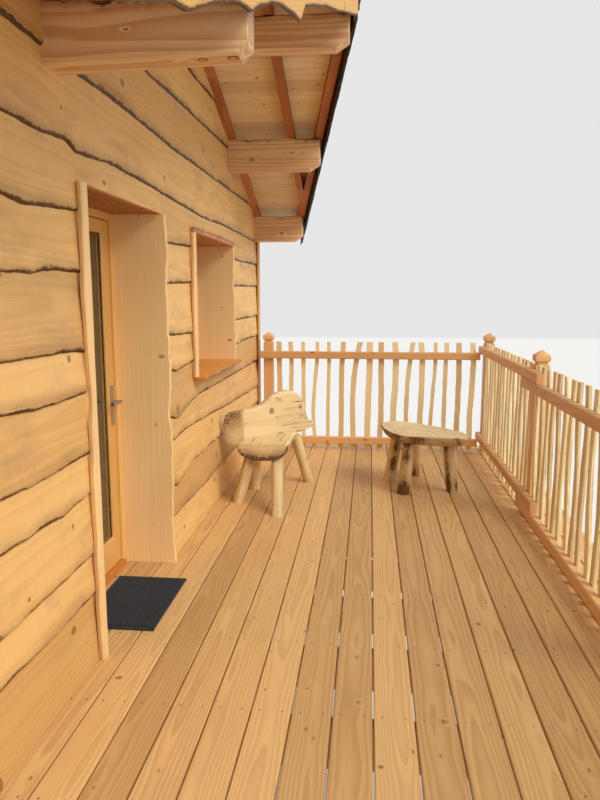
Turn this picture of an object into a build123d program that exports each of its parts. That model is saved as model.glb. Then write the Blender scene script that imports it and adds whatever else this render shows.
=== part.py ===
from build123d import *
import os
from math import atan, cos, radians, sin, tan

os.makedirs("parts", exist_ok=True)

# Tree house: a timber cabin on round stilts, with a railed deck along its gable front.
# Millimetres, Z up. The origin is the foot of the stilt under the middle of the front gable.
# +X points from the cabin out over the deck, +Y along the front towards the far railing.

# Levels from the ground up
deck_top = 2400
deck_board = 28
joist_depth = 170
joist_width = 60
joist_spacing = 500
bearer_depth = 220
bearer_width = 160
stilt_diameter = 240
stilt_inset = 300
deck_stilt_inset = 260
joist_bottom = deck_top - deck_board - joist_depth
bearer_bottom = joist_bottom - bearer_depth

# Cabin: outer faces of the wall slabs, without the cladding boards
cabin_width = 4920
cabin_depth = 5400
wall = 350
cladding = 30
side = cabin_width / 2
room_side = side - wall
back = -cabin_depth

# Deck: from the gable front to the outer edge, and on past the near corner of the cabin
deck_width = 2500
deck_near = -4560
deck_far = 2650
rim_board = 35
rim_depth = 190
rim_joint = 2

# Front door: clear opening between its lining boards, along Y and above the deck
door_in = 800
door_width = 1010
door_near = door_in - side
door_far = door_near + door_width
door_head = 1940
lining = 30
lining_proud = 25
reveal_depth = 242
jamb = 35
frame_depth = 60
casing = 20
sill_height = 30
sill_nose = 20
door_gap = 5
leaf_thickness = 52
leaf_stile = 85
leaf_top_rail = 55
leaf_bottom_rail = 150
leaf_glass = 24
handle_height = 945
handle_reach = 55
handle_length = 120
handle_diameter = 18
hinge_radius = 8
hinge_knuckle = 45
hinge_heights = [250, 950, 1650]

# Windows: one in each wall, all of the size that the front gable shows
window_width = 1200
window_bottom = 1000
window_top = 1900
window_frame = 60
window_frame_depth = 70
window_mullion = 50
window_glass_thickness = 24
window_sill_proud = 75
front_window_in = 1870
front_window_middle = side - front_window_in

# Roof: the rafters' undersides form two planes that meet over the ridge. The near one,
# slope -1, is a little flatter than the far one, slope 1.
ridge_height = 3145
ridge_top = deck_top + ridge_height
falls = {1: 0.377, -1: 0.34}
pitches = {slope: atan(fall) for slope, fall in falls.items()}
eave_overhang = 380
rafter_width = 55
rafter_depth = 80
ridge_joint = 4
soffit_board = 20
covering = 40
covering_lip = 15
ridge_cap_width = 150
ridge_cap_thickness = 6
barge_board = 25
barge_drop = 60

# Verge: its reach past the gable at the ridge, and how it draws in down each slope
verge_ridge = 1022
verge_in_far = 0.199
verge_in_near = 0.144
verge_inset = 20
mid_rafter = 510
wall_rafter = 40
inside_rafters = 8

# Purlins: how far the near face lies in from the side, and the bottom above the deck
purlin_width = 120
purlin_chamfer = 55
purlin_clearance = 10
ridge_purlin_bottom = 2935
far_purlin_in = 1305
far_purlin_face = side - far_purlin_in
far_purlin_bottom = 2470
near_purlin_in = 550
near_purlin_face = near_purlin_in - side
near_purlin_bottom = 2287
eave_purlin_bottom = 2025
near_plate_bottom = 2110

# Railing: posts, rails on their inner faces, and pickets on the rails' outer faces
post = 92
post_height = 1060
post_margin = 173
neck_width = 72
neck_height = 20
cap_width = 100
cap_block = 42
cap_point = 34
cap_taper = 54
rail_height = 70
rail_thickness = 45
rail_end = 28
picket_thickness = 22
picket_width = 50
picket_low = 15
picket_high = 1065
picket_pitch = 128
picket_sway = 16
picket_width_sway = 5
picket_steps = [0, 0.3, 0.6, 0.81, 1]
gate_width = 900

# Rails' lower edges above the deck: the outer railing steps up by a rail past its second post
end_rails = [60, 903]
low_rails = [42, 888]
high_rails = [113, 959]
rail_overlap = [130, 570]
outer_posts = [400, -1600, -3600]
left_post_x = 143
far_picket_shares = [0.031, 0.087, 0.151, 0.212, 0.271, 0.342, 0.413, 0.464,
                     0.52, 0.584, 0.657, 0.708, 0.767, 0.823, 0.882, 0.943]

# Bench of split logs: the seat's near corner, its size, and where the back stands across it
seat_height = 460
seat_thickness = 130
seat_near = 465
seat_wall_side = 200
seat_width = 360
seat_flare = 15
seat_corner = 45
seat_wane = 30
back_foot = (234, 678)
back_turn = 44.4
back_end = 655
back_thickness = 110
back_bottom = 400
back_crown = [(250, 752), (330, 778), (400, 786), (470, 772), (530, 720)]
back_limb = [(570, 650), (575, 570), (600, 530), (655, 520), (650, 462), (560, 455), (545, 400)]
leg_radius = 45
leg_taper = 0.9
seat_legs = [((480, 545), (520, 254)), ((280, 545), (186, 541))]
back_legs = [((282, 800), (250, 898)), ((550, 1062), (651, 1164))]

# Low table with a slab top, on splayed legs given by their tops and their feet
table_x = 1560
table_y = 1130
table_height = 460
slab_thickness = 75
slab_wane = 20
table_leg_radius = 50
table_legs_at = [((-105, -190), (-142, -248)), ((-180, 120), (-239, 149)),
                 ((-40, 180), (-8, 319)), ((200, -140), (235, -161))]
table_outline = [(-180, -245), (-97, -284), (302, -335), (345, -230), (308, -70),
                 (180, 90), (-160, 350), (-270, 320), (-315, 210), (-250, -130)]

# Door mat
mat_length = 570
mat_width = 370
mat_thickness = 14
mat_edge = -192


def rafter_line(y):
    """Height of the rafters' undersides at a place across the roof."""
    return ridge_top - falls[1 if y >= 0 else -1] * abs(y)


def soffit_line(y):
    """Height of the roof boards' undersides at a place across the roof."""
    return rafter_line(y) + rafter_depth / cos(pitches[1 if y > 0 else -1])


def eave_reach(slope):
    """How far a slope reaches down from the ridge."""
    return (side + eave_overhang) / cos(pitches[slope])


def rectangle(left, right, bottom, top):
    """Corners of an upright rectangle."""
    return [(left, bottom), (right, bottom), (right, top), (left, top)]


def under_roof(near, far, bottom, line):
    """Corners of a piece that stands from bottom up to a roof line, over Y near to far."""
    crest = [(0, line(0))] if near < 0 < far else []
    return [(near, bottom), (far, bottom), (far, line(far)), *crest, (near, line(near))]


def verge_x(slope, down, inset=0):
    """Front verge at a distance down a slope: slope 1 is the far one, -1 the near one."""
    draw_in = verge_in_far if slope > 0 else verge_in_near
    return verge_ridge - inset - draw_in * down


def verge_strip(slope, outer, inner):
    """Corners of a strip along the front verge in the roof plane, between two insets."""
    up, down = -ridge_overrun, eave_reach(slope)
    return [
        (verge_x(slope, up, inner), slope * up),
        (verge_x(slope, up, outer), slope * up),
        (verge_x(slope, down, outer), slope * down),
        (verge_x(slope, down, inner), slope * down),
    ]


def roof_outline(slope, lip):
    """Corners of a whole slope in the roof plane, from verge to verge, past it by lip."""
    up, down = -ridge_overrun, eave_reach(slope) + lip
    front_up, front_down = verge_x(slope, up, -lip), verge_x(slope, down, -lip)
    return [
        (back - front_up, slope * up),
        (front_up, slope * up),
        (front_down, slope * down),
        (back - front_down, slope * down),
    ]


def roof_slab(slope, outline, above, thickness, joint=0):
    """Slab on a slope at a height above the rafters' undersides, cut plumb at the ridge."""
    normal = Vector(0, slope * sin(pitches[slope]), cos(pitches[slope]))
    base = Plane(origin=(0, 0, ridge_top) + normal * above, x_dir=(1, 0, 0), z_dir=normal)
    ridge = Plane(origin=(0, slope * joint / 2, 0), x_dir=(1, 0, 0), z_dir=(0, slope, 0))
    with BuildPart() as slab:
        with BuildSketch(base):
            with BuildLine():
                Polyline(*outline, close=True)
            make_face()
        extrude(amount=thickness)
        split(bisect_by=ridge, keep=Keep.TOP)
    return slab.part


def purlin(near, bottom):
    """Square-sawn purlin with its top bevelled to the rafters and its ends chamfered below."""
    far = near + purlin_width
    slope = 1 if near + far >= 0 else -1
    down = max(abs(near), abs(far)) / cos(pitches[slope]) + barge_drop * tan(pitches[slope])
    end = verge_x(slope, down) - purlin_clearance
    with BuildPart() as beam:
        with BuildSketch(Plane.YZ.offset(back - end)):
            with BuildLine():
                Polyline(*under_roof(near, far, deck_top + bottom, rafter_line), close=True)
            make_face()
        extrude(amount=2 * end - back)
        ends = beam.edges().filter_by(Axis.Y).group_by(Axis.Z)[0]
        chamfer(ends, purlin_chamfer)
    return beam.part


def window_planes():
    """Outer face of each wall, with its origin at the middle of the window's lower edge."""
    level = deck_top + window_bottom
    return [
        Plane(origin=(0, front_window_middle, level), x_dir=(0, 1, 0), z_dir=(1, 0, 0)),
        Plane(origin=(back, front_window_middle, level), x_dir=(0, -1, 0), z_dir=(-1, 0, 0)),
        Plane(origin=(back / 2, side, level), x_dir=(-1, 0, 0), z_dir=(0, 1, 0)),
        Plane(origin=(back / 2, -side, level), x_dir=(1, 0, 0), z_dir=(0, -1, 0)),
    ]


def picket_outline(number, middle):
    """Corners of one wavy picket: its middle line sways and its width changes with height."""
    left, right = [], []
    for step, share in enumerate(picket_steps):
        height = picket_low + share * (picket_high - picket_low)
        sway = picket_sway * sin(2.1 * number + 1.7 * step)
        half = picket_width / 2 + picket_width_sway * sin(3.7 * number + 2.3 * step)
        left.append((middle + sway - half, height))
        right.append((middle + sway + half, height))
    return left + right[::-1]


def railing_run(inner_face, outward, start, end, bottoms, pickets):
    """Rails between two places along a wall of pickets, with the pickets outside them.

    inner_face is the rails' inner face, start, end and pickets are places along the run.
    """
    along = Vector(0, 0, 1).cross(outward)
    sign = along.X + along.Y
    upright = Plane(origin=outward * inner_face + Vector(0, 0, deck_top),
                    x_dir=along, z_dir=outward)
    left, right = sorted((sign * start, sign * end))
    with BuildPart() as run:
        with BuildSketch(upright):
            for bottom in bottoms:
                with BuildLine():
                    Polyline(*rectangle(left, right, bottom, bottom + rail_height), close=True)
                make_face()
        extrude(amount=rail_thickness)
        with BuildSketch(upright.offset(rail_thickness)):
            for number, place in enumerate(pickets):
                with BuildLine():
                    Polyline(*picket_outline(number, sign * place), close=True)
                make_face()
        extrude(amount=picket_thickness)
    return run.part


def spread(start, end):
    """Middles of pickets spread evenly over a clear length between two posts."""
    count = round((end - start) / picket_pitch)
    return [start + (end - start) * (number + 0.5) / count for number in range(count)]


def log_leg(top, foot, level, radius):
    """Round leg from its foot on the deck to its top at a level, cut flat at both ends."""
    with BuildPart() as leg:
        for place, height, share in ((foot, deck_top, leg_taper), (top, level, 1)):
            with BuildSketch(Plane.XY.offset(height)):
                with Locations(place):
                    Circle(radius * share)
        loft()
    return leg.part


# How far the slopes' outlines run past the ridge before the cut
ridge_overrun = 100
above_soffit = rafter_depth
above_boards = rafter_depth + soffit_board
middle = back / 2
frame_outer = -reveal_depth
frame_inner = frame_outer - frame_depth
opening_near = door_near - lining
opening_far = door_far + lining
window_left = front_window_middle - window_width / 2 - lining
window_right = front_window_middle + window_width / 2 + lining
sill_level = deck_top + window_bottom - lining
lintel_level = deck_top + window_top + lining
door_lintel = deck_top + door_head + lining
post_x = deck_width - post_margin - post / 2
side_post_x = cladding - rail_thickness - post / 2
side_edge = side_post_x - post / 2 - post_margin
near_post_y = deck_near + post_margin + post / 2
far_corner_y = deck_far - post_margin - post / 2
cabin_side = side + cladding

# Stilts, in rows across the cabin and along the outer edge of the deck
outer_line = post_x - 80
stilt_row = [stilt_inset - side, 0, side - stilt_inset]
deck_near_stilt = deck_near + deck_stilt_inset
cabin_lines = [0, middle, back + bearer_width / 2]
with BuildPart() as stilts:
    feet = [(x, y) for x in cabin_lines for y in stilt_row]
    feet += [(outer_line, y) for y in stilt_row]
    feet += [(0, deck_near_stilt), (outer_line, deck_near_stilt)]
    with BuildSketch():
        with Locations(*feet):
            Circle(stilt_diameter / 2)
    extrude(amount=bearer_bottom)

# Bearers along Y on the stilts
with BuildPart() as bearers:
    with BuildSketch(Plane.XY.offset(bearer_bottom)):
        for x in cabin_lines + [outer_line]:
            near = deck_near if x in (0, outer_line) else -side
            far = deck_far if x in (0, outer_line) else side
            with Locations((x, (near + far) / 2)):
                Rectangle(bearer_width, far - near)
    extrude(amount=bearer_depth)

# Deck joists across the bearers
joist_span = deck_far - deck_near - joist_width
joist_rows = int(joist_span / joist_spacing)
with BuildPart() as deck_joists:
    with BuildSketch(Plane.XY.offset(joist_bottom)):
        for row in range(joist_rows + 1):
            y = deck_near + joist_width / 2 + joist_span * row / joist_rows
            start = side_edge if y + joist_width / 2 < -cabin_side else 0
            with Locations(((start + deck_width) / 2, y)):
                Rectangle(deck_width - start, joist_width)
    extrude(amount=joist_depth)

# Deck floor, with its strip beside the cabin and the tongue that runs into the door recess
with BuildPart() as deck_floor:
    with BuildSketch(Plane.XY.offset(deck_top - deck_board)):
        with BuildLine():
            Polyline(*rectangle(0, deck_width, deck_near, deck_far), close=True)
        make_face()
        with BuildLine():
            Polyline(*rectangle(side_edge, 0, deck_near, -cabin_side), close=True)
        make_face()
        with BuildLine():
            Polyline(*rectangle(-reveal_depth, 0, door_near, door_far), close=True)
        make_face()
    extrude(amount=deck_board)

# Rim boards round the deck's outer edges
with BuildPart() as rim_boards:
    with BuildSketch(Plane.XY.offset(deck_top - rim_depth)):
        outer = deck_width + rim_board
        near = deck_near - rim_board
        far = deck_far + rim_board
        corners = [
            rectangle(deck_width, outer, near, far),
            rectangle(-rim_board, deck_width - rim_joint, deck_far, far),
            rectangle(-rim_board, 0, cabin_side, deck_far - rim_joint),
            rectangle(side_edge - rim_board, deck_width - rim_joint, near, deck_near),
            rectangle(side_edge - rim_board, side_edge, deck_near + rim_joint, -cabin_side),
        ]
        for corner in corners:
            with BuildLine():
                Polyline(*corner, close=True)
            make_face()
    extrude(amount=rim_depth)

# Cabin floor, rebated under the door recess for the deck boards
with BuildPart() as cabin_floor:
    with BuildSketch(Plane.XY.offset(joist_bottom)):
        with Locations((middle, 0)):
            Rectangle(cabin_depth, cabin_width)
    extrude(amount=deck_top - joist_bottom)
    with BuildSketch(Plane.XY.offset(deck_top)):
        with BuildLine():
            Polyline(*rectangle(-reveal_depth, 0, door_near, door_far), close=True)
        make_face()
    extrude(amount=-deck_board, mode=Mode.SUBTRACT)

# Purlins
ridge_purlin = purlin(-purlin_width / 2, ridge_purlin_bottom)
far_purlin = purlin(far_purlin_face, far_purlin_bottom)
near_purlin = purlin(near_purlin_face, near_purlin_bottom)
far_eave_purlin = purlin(side - purlin_width, eave_purlin_bottom)
with BuildPart() as near_eave_purlin:
    with BuildSketch(Plane.YZ):
        with BuildLine():
            Polyline(*under_roof(-side, purlin_width - side, deck_top + near_plate_bottom,
                                 rafter_line), close=True)
        make_face()
    extrude(amount=back)
purlin_pockets = [
    under_roof(-purlin_width / 2, purlin_width / 2, deck_top + ridge_purlin_bottom, rafter_line),
    under_roof(far_purlin_face, far_purlin_face + purlin_width,
               deck_top + far_purlin_bottom, rafter_line),
    under_roof(near_purlin_face, near_purlin_face + purlin_width,
               deck_top + near_purlin_bottom, rafter_line),
    under_roof(side - purlin_width, side, deck_top + eave_purlin_bottom, rafter_line),
    under_roof(-side, purlin_width - side, deck_top + near_plate_bottom, rafter_line),
]

# Front gable wall: upright piers, with panels over the door and round the window
with BuildPart() as front_wall_piers:
    with BuildSketch(Plane.YZ):
        for near, far in [(-side, opening_near), (opening_far, window_left), (window_right, side)]:
            with BuildLine():
                Polyline(*under_roof(near, far, deck_top, soffit_line), close=True)
            make_face()
        for pocket in purlin_pockets:
            with BuildLine():
                Polyline(*pocket, close=True)
            make_face(mode=Mode.SUBTRACT)
    extrude(amount=-wall)

with BuildPart() as front_wall_panels:
    with BuildSketch(Plane.YZ):
        for corners in [
            under_roof(opening_near, opening_far, door_lintel, soffit_line),
            rectangle(window_left, window_right, deck_top, sill_level),
            under_roof(window_left, window_right, lintel_level, soffit_line),
        ]:
            with BuildLine():
                Polyline(*corners, close=True)
            make_face()
        for pocket in purlin_pockets:
            with BuildLine():
                Polyline(*pocket, close=True)
            make_face(mode=Mode.SUBTRACT)
    extrude(amount=-wall)

# Back gable wall, with the same window
with BuildPart() as back_wall_piers:
    with BuildSketch(Plane.YZ.offset(back)):
        for near, far in [(-side, window_left), (window_right, side)]:
            with BuildLine():
                Polyline(*under_roof(near, far, deck_top, soffit_line), close=True)
            make_face()
        for pocket in purlin_pockets:
            with BuildLine():
                Polyline(*pocket, close=True)
            make_face(mode=Mode.SUBTRACT)
    extrude(amount=wall)

with BuildPart() as back_wall_panels:
    with BuildSketch(Plane.YZ.offset(back)):
        for corners in [
            rectangle(window_left, window_right, deck_top, sill_level),
            under_roof(window_left, window_right, lintel_level, soffit_line),
        ]:
            with BuildLine():
                Polyline(*corners, close=True)
            make_face()
        for pocket in purlin_pockets:
            with BuildLine():
                Polyline(*pocket, close=True)
            make_face(mode=Mode.SUBTRACT)
    extrude(amount=wall)


def side_wall_section(slope, bottom):
    """Corners of a side wall: its outer part carries the eave purlin."""
    ledge = side - purlin_width
    seat = deck_top + (eave_purlin_bottom if slope > 0 else near_plate_bottom)
    corners = [
        (room_side, bottom),
        (side, bottom),
        (side, seat),
        (ledge, seat),
        (ledge, rafter_line(slope * ledge)),
        (room_side, rafter_line(slope * room_side)),
    ]
    return [(slope * y, z) for y, z in corners]


# Side walls between the gables, each with a window in its middle
side_window = window_width / 2 + lining
pier_length = cabin_depth / 2 - wall - side_window
side_piers, side_panels = {}, {}
for slope in (1, -1):
    with BuildPart() as piers:
        for start in (back + wall, middle + side_window):
            with BuildSketch(Plane.YZ.offset(start)):
                with BuildLine():
                    Polyline(*side_wall_section(slope, deck_top), close=True)
                make_face()
            extrude(amount=pier_length)
    side_piers[slope] = piers.part
    with BuildPart() as panels:
        with BuildSketch(Plane.YZ.offset(middle - side_window)):
            with BuildLine():
                Polyline(*[(slope * y, z) for y, z in
                           rectangle(room_side, side, deck_top, sill_level)], close=True)
            make_face()
            with BuildLine():
                Polyline(*side_wall_section(slope, lintel_level), close=True)
            make_face()
        extrude(amount=2 * side_window)
    side_panels[slope] = panels.part

# Rafters: pairs on the purlins, inside and over the gable fronts
inside_from = back + wall + rafter_width
inside_to = -wall - rafter_width
rafter_places = [wall_rafter, mid_rafter, back - wall_rafter, back - mid_rafter]
for number in range(inside_rafters):
    share = number / (inside_rafters - 1)
    rafter_places.append(inside_from + (inside_to - inside_from) * share)
verge_cuts = [
    roof_slab(slope, verge_strip(slope, -mid_rafter, verge_inset + rafter_width),
              -1, rafter_depth + 2)
    for slope in (1, -1)
]
eave_y = side + eave_overhang
with BuildPart() as rafters:
    for x in rafter_places:
        for slope in (1, -1):
            top, low = slope * ridge_joint / 2, slope * eave_y
            with BuildSketch(Plane.YZ.offset(x - rafter_width / 2)):
                with BuildLine():
                    Polyline(
                        (top, rafter_line(top)),
                        (low, rafter_line(low)),
                        (low, soffit_line(low)),
                        (top, soffit_line(top)),
                        close=True,
                    )
                make_face()
            extrude(amount=rafter_width)
    for cut in verge_cuts:
        add(cut, mode=Mode.SUBTRACT)
        mirror(cut, about=Plane.YZ.offset(middle), mode=Mode.SUBTRACT)

# Verge rafters: skewed, so that the roof reaches furthest at the ridge
verge_pieces = [
    roof_slab(slope, verge_strip(slope, verge_inset, verge_inset + rafter_width),
              0, rafter_depth, ridge_joint)
    for slope in (1, -1)
]
with BuildPart() as verge_rafters:
    add(verge_pieces)
    mirror(about=Plane.YZ.offset(middle))

# Roof boards, whose undersides show as the soffit
far_roof_boards = roof_slab(1, roof_outline(1, 0), above_soffit, soffit_board)
near_roof_boards = roof_slab(-1, roof_outline(-1, 0), above_soffit, soffit_board)

# Barge boards outside the purlins' ends
barge_pieces = [
    roof_slab(slope, verge_strip(slope, -barge_board, 0),
              -barge_drop, barge_drop + above_boards, ridge_joint)
    for slope in (1, -1)
]
with BuildPart() as barge_boards:
    add(barge_pieces)
    mirror(about=Plane.YZ.offset(middle))

# Roof covering
far_covering = roof_slab(1, roof_outline(1, barge_board + covering_lip), above_boards, covering)
near_covering = roof_slab(-1, roof_outline(-1, barge_board + covering_lip), above_boards, covering)

# Ridge cap over the joint of the two coverings
cap_level = above_boards + covering
cap_halves = [
    roof_slab(slope, [(back - verge_ridge - barge_board, -slope * ridge_overrun),
                      (verge_ridge + barge_board, -slope * ridge_overrun),
                      (verge_ridge + barge_board, slope * ridge_cap_width),
                      (back - verge_ridge - barge_board, slope * ridge_cap_width)],
              cap_level, ridge_cap_thickness)
    for slope in (1, -1)
]
with BuildPart() as ridge_cap:
    add(cap_halves)

# Door lining boards, the head one flush with the cladding, and the frame with its casing
with BuildPart() as door_lining:
    with BuildSketch(Plane.YZ.offset(frame_outer)):
        with BuildLine():
            Polyline(*rectangle(opening_near, opening_far, deck_top, door_lintel), close=True)
        make_face()
        with BuildLine():
            Polyline(*rectangle(door_near, door_far, deck_top, deck_top + door_head), close=True)
        make_face(mode=Mode.SUBTRACT)
    extrude(amount=reveal_depth + cladding + lining_proud)
    with BuildSketch(Plane.YZ.offset(cladding)):
        with BuildLine():
            Polyline(*rectangle(opening_near, opening_far, deck_top + door_head, door_lintel),
                     close=True)
        make_face()
    extrude(amount=lining_proud, mode=Mode.SUBTRACT)

frame_near = door_near + jamb
frame_far = door_far - jamb
frame_head = deck_top + door_head - jamb
with BuildPart() as door_frame:
    for start, depth, clear in (
        (frame_inner, frame_depth, rectangle(frame_near, frame_far, deck_top, frame_head)),
        (-wall, wall + frame_inner, rectangle(opening_near + casing, opening_far - casing,
                                              deck_top, door_lintel - casing)),
    ):
        with BuildSketch(Plane.YZ.offset(start)):
            with BuildLine():
                Polyline(*rectangle(opening_near, opening_far, deck_top, door_lintel), close=True)
            make_face()
            with BuildLine():
                Polyline(*clear, close=True)
            make_face(mode=Mode.SUBTRACT)
        extrude(amount=depth)

with BuildPart() as door_sill:
    with BuildSketch(Plane.YZ.offset(frame_inner)):
        with BuildLine():
            Polyline(*rectangle(frame_near, frame_far, deck_top, deck_top + sill_height), close=True)
        make_face()
    extrude(amount=frame_depth + sill_nose)

# Door leaf: a glazed frame with a solid bottom rail, hinged on its near edge
leaf_near = frame_near + door_gap
leaf_far = frame_far - door_gap
leaf_low = deck_top + sill_height + door_gap
leaf_high = frame_head - door_gap
pane_near = leaf_near + leaf_stile
pane_far = leaf_far - leaf_stile
pane_low = leaf_low + leaf_bottom_rail
pane_high = leaf_high - leaf_top_rail
with BuildPart() as door_leaf:
    with BuildSketch(Plane.YZ.offset(frame_inner)):
        with BuildLine():
            Polyline(*rectangle(leaf_near, leaf_far, leaf_low, leaf_high), close=True)
        make_face()
        with BuildLine():
            Polyline(*rectangle(pane_near, pane_far, pane_low, pane_high), close=True)
        make_face(mode=Mode.SUBTRACT)
    extrude(amount=leaf_thickness)

with BuildPart() as door_glass:
    with BuildSketch(Plane.YZ.offset(frame_inner + (leaf_thickness - leaf_glass) / 2)):
        with BuildLine():
            Polyline(*rectangle(pane_near, pane_far, pane_low, pane_high), close=True)
        make_face()
    extrude(amount=leaf_glass)

# Lever handles, one on each face of the leaf
handle_y = leaf_far - leaf_stile / 2
with BuildPart() as door_handles:
    for face, out in ((frame_inner + leaf_thickness, 1), (frame_inner, -1)):
        with BuildSketch(Plane.YZ.offset(face)):
            with Locations((handle_y, deck_top + handle_height)):
                Circle(handle_diameter / 2)
        extrude(amount=out * handle_reach)
        with BuildSketch(Plane.XZ.offset(-handle_y - handle_diameter / 2)):
            with Locations((face + out * (handle_reach - handle_diameter / 2),
                            deck_top + handle_height)):
                Circle(handle_diameter / 2)
        extrude(amount=handle_length)

# Hinges: knuckles on an axis just inside the leaf, the lower half on the frame
hinge_x = frame_inner - hinge_radius
hinge_y = leaf_near - door_gap / 2
with BuildPart() as door_hinges:
    for height in hinge_heights:
        with BuildSketch(Plane.XY.offset(deck_top + height + 1)):
            with Locations((hinge_x, hinge_y)):
                Circle(hinge_radius)
            with BuildLine():
                Polyline(*rectangle(hinge_x - 1, frame_inner, hinge_y, leaf_near + 30), close=True)
            make_face()
        extrude(amount=hinge_knuckle)

with BuildPart() as frame_hinges:
    for height in hinge_heights:
        with BuildSketch(Plane.XY.offset(deck_top + height)):
            with Locations((hinge_x, hinge_y)):
                Circle(hinge_radius)
            with BuildLine():
                Polyline(*rectangle(hinge_x - 1, frame_inner, frame_near - 30, hinge_y), close=True)
            make_face()
        extrude(amount=-hinge_knuckle)

# Windows: lining, frame with a mullion, glass, and a sill board that stands proud
window_height = window_top - window_bottom
with BuildPart() as window_linings:
    with BuildSketch(*[plane.offset(window_frame_depth - wall) for plane in window_planes()]):
        with Locations((0, (window_height + lining) / 2)):
            Rectangle(window_width + 2 * lining, window_height + lining)
        with Locations((0, window_height / 2)):
            Rectangle(window_width, window_height, mode=Mode.SUBTRACT)
    extrude(amount=wall - window_frame_depth + cladding + lining_proud)

with BuildPart() as window_sills:
    with BuildSketch(*[plane.offset(window_frame_depth - wall) for plane in window_planes()]):
        with Locations((0, -lining / 2)):
            Rectangle(window_width + 2 * lining, lining)
    extrude(amount=wall - window_frame_depth + cladding + window_sill_proud)

with BuildPart() as window_frames:
    with BuildSketch(*[plane.offset(-wall) for plane in window_planes()]):
        with Locations((0, window_height / 2)):
            Rectangle(window_width + 2 * lining, window_height + 2 * lining)
            Rectangle(window_width - 2 * window_frame, window_height - 2 * window_frame,
                      mode=Mode.SUBTRACT)
            Rectangle(window_mullion, window_height)
    extrude(amount=window_frame_depth)

pane_offset = (window_frame_depth - window_glass_thickness) / 2 - wall
pane_width = window_width / 2 - window_frame - window_mullion / 2
with BuildPart() as window_glass:
    with BuildSketch(*[plane.offset(pane_offset) for plane in window_planes()]):
        with Locations((0, window_height / 2)):
            with GridLocations(pane_width + window_mullion, 1, 2, 1):
                Rectangle(pane_width, window_height - 2 * window_frame)
    extrude(amount=window_glass_thickness)

# Railing posts: a neck under each cap, and a pointed top
outer_inner_face = post_x - post / 2 - rail_thickness
far_inner_face = far_corner_y - post / 2 - rail_thickness
near_inner_face = near_post_y + post / 2 + rail_thickness
side_inner_face = side_post_x + post / 2 + rail_thickness
gate_post_x = side_inner_face + gate_width + rail_end + post / 2
cabin_post_y = -cabin_side - post / 2
post_places = [
    (left_post_x, far_corner_y),
    (post_x, far_corner_y),
    *[(post_x, y) for y in outer_posts],
    (post_x, near_post_y),
    (gate_post_x, near_post_y),
    (side_post_x, near_post_y),
    (side_post_x, cabin_post_y),
]
with BuildPart() as railing_posts:
    level = deck_top
    for width, height in ((post, post_height), (neck_width, neck_height), (cap_width, cap_block)):
        with BuildSketch(Plane.XY.offset(level)):
            with Locations(*post_places):
                Rectangle(width, width)
        extrude(amount=height)
        level += height
    with BuildSketch(Plane.XY.offset(level)):
        with Locations(*post_places):
            Rectangle(cap_width, cap_width)
    extrude(amount=cap_point, taper=cap_taper)

# Railing runs. The two rails of the outer one overlap beside its second post.
half_post = post / 2
far_railing = railing_run(
    far_inner_face, Vector(0, 1, 0), left_post_x - half_post - rail_end, outer_inner_face,
    end_rails,
    [left_post_x + half_post + share * (outer_inner_face - left_post_x - half_post)
     for share in far_picket_shares],
)
outer_railing_far = railing_run(
    outer_inner_face, Vector(1, 0, 0), rail_overlap[0], far_corner_y + half_post, high_rails,
    spread(outer_posts[0] + half_post, far_corner_y - half_post),
)
outer_railing_middle = railing_run(
    outer_inner_face, Vector(1, 0, 0), outer_posts[1] + rim_joint / 2, rail_overlap[1], low_rails,
    spread(outer_posts[1] + half_post, outer_posts[0] - half_post),
)
outer_railing_near = railing_run(
    outer_inner_face, Vector(1, 0, 0), near_post_y - half_post, outer_posts[1] - rim_joint / 2,
    low_rails,
    spread(outer_posts[2] + half_post, outer_posts[1] - half_post)
    + spread(near_post_y + half_post, outer_posts[2] - half_post),
)
gate_railing = railing_run(
    -near_inner_face, Vector(0, -1, 0), gate_post_x - half_post - rail_end, outer_inner_face,
    end_rails, spread(gate_post_x + half_post, outer_inner_face),
)
side_railing = railing_run(
    -side_inner_face, Vector(-1, 0, 0), near_post_y - half_post, -cabin_side, end_rails,
    spread(near_post_y + half_post, cabin_post_y - half_post),
)

# Bench: a seat slab cut to the face of a thick back slab that stands askew
back_plane = Plane(origin=(*back_foot, deck_top), x_dir=(cos(radians(back_turn)),
                                                        sin(radians(back_turn)), 0),
                   z_dir=(sin(radians(back_turn)), -cos(radians(back_turn)), 0))
seat_front = seat_wall_side + seat_width + seat_flare
seat_outline = [(seat_wall_side, seat_near), (seat_wall_side + seat_width, seat_near)]
for x in (seat_front, seat_wall_side):
    seat_outline.append((x, back_foot[1] + (x - back_foot[0]) * tan(radians(back_turn))))
seat_bottom = deck_top + seat_height - seat_thickness
with BuildPart() as bench_seat:
    with BuildSketch(Plane.XY.offset(seat_bottom)):
        with BuildLine():
            Polyline(*seat_outline, close=True)
        make_face()
    extrude(amount=seat_thickness)
    fillet(bench_seat.edges().filter_by(Axis.Z).group_by(Axis.Y)[0], seat_corner)
    under = bench_seat.edges().group_by(Axis.Z)[0].sort_by(lambda edge: back_plane.to_local_coords(
        edge.center()).Z)
    chamfer(under[1:], seat_wane)

with BuildPart() as bench_back:
    with BuildSketch(back_plane):
        with BuildLine():
            start = (-2 * back_thickness, back_bottom)
            near_top = (start[0], back_crown[0][1] - 100)
            Polyline(start, near_top, (100, 675))
            Spline((100, 675), *back_crown)
            Polyline(back_crown[-1], *back_limb, start)
        make_face()
    extrude(amount=-back_thickness)
    split(bisect_by=Plane(origin=(0, back_end, 0), x_dir=(1, 0, 0), z_dir=(0, 1, 0)),
          keep=Keep.TOP)

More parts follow.
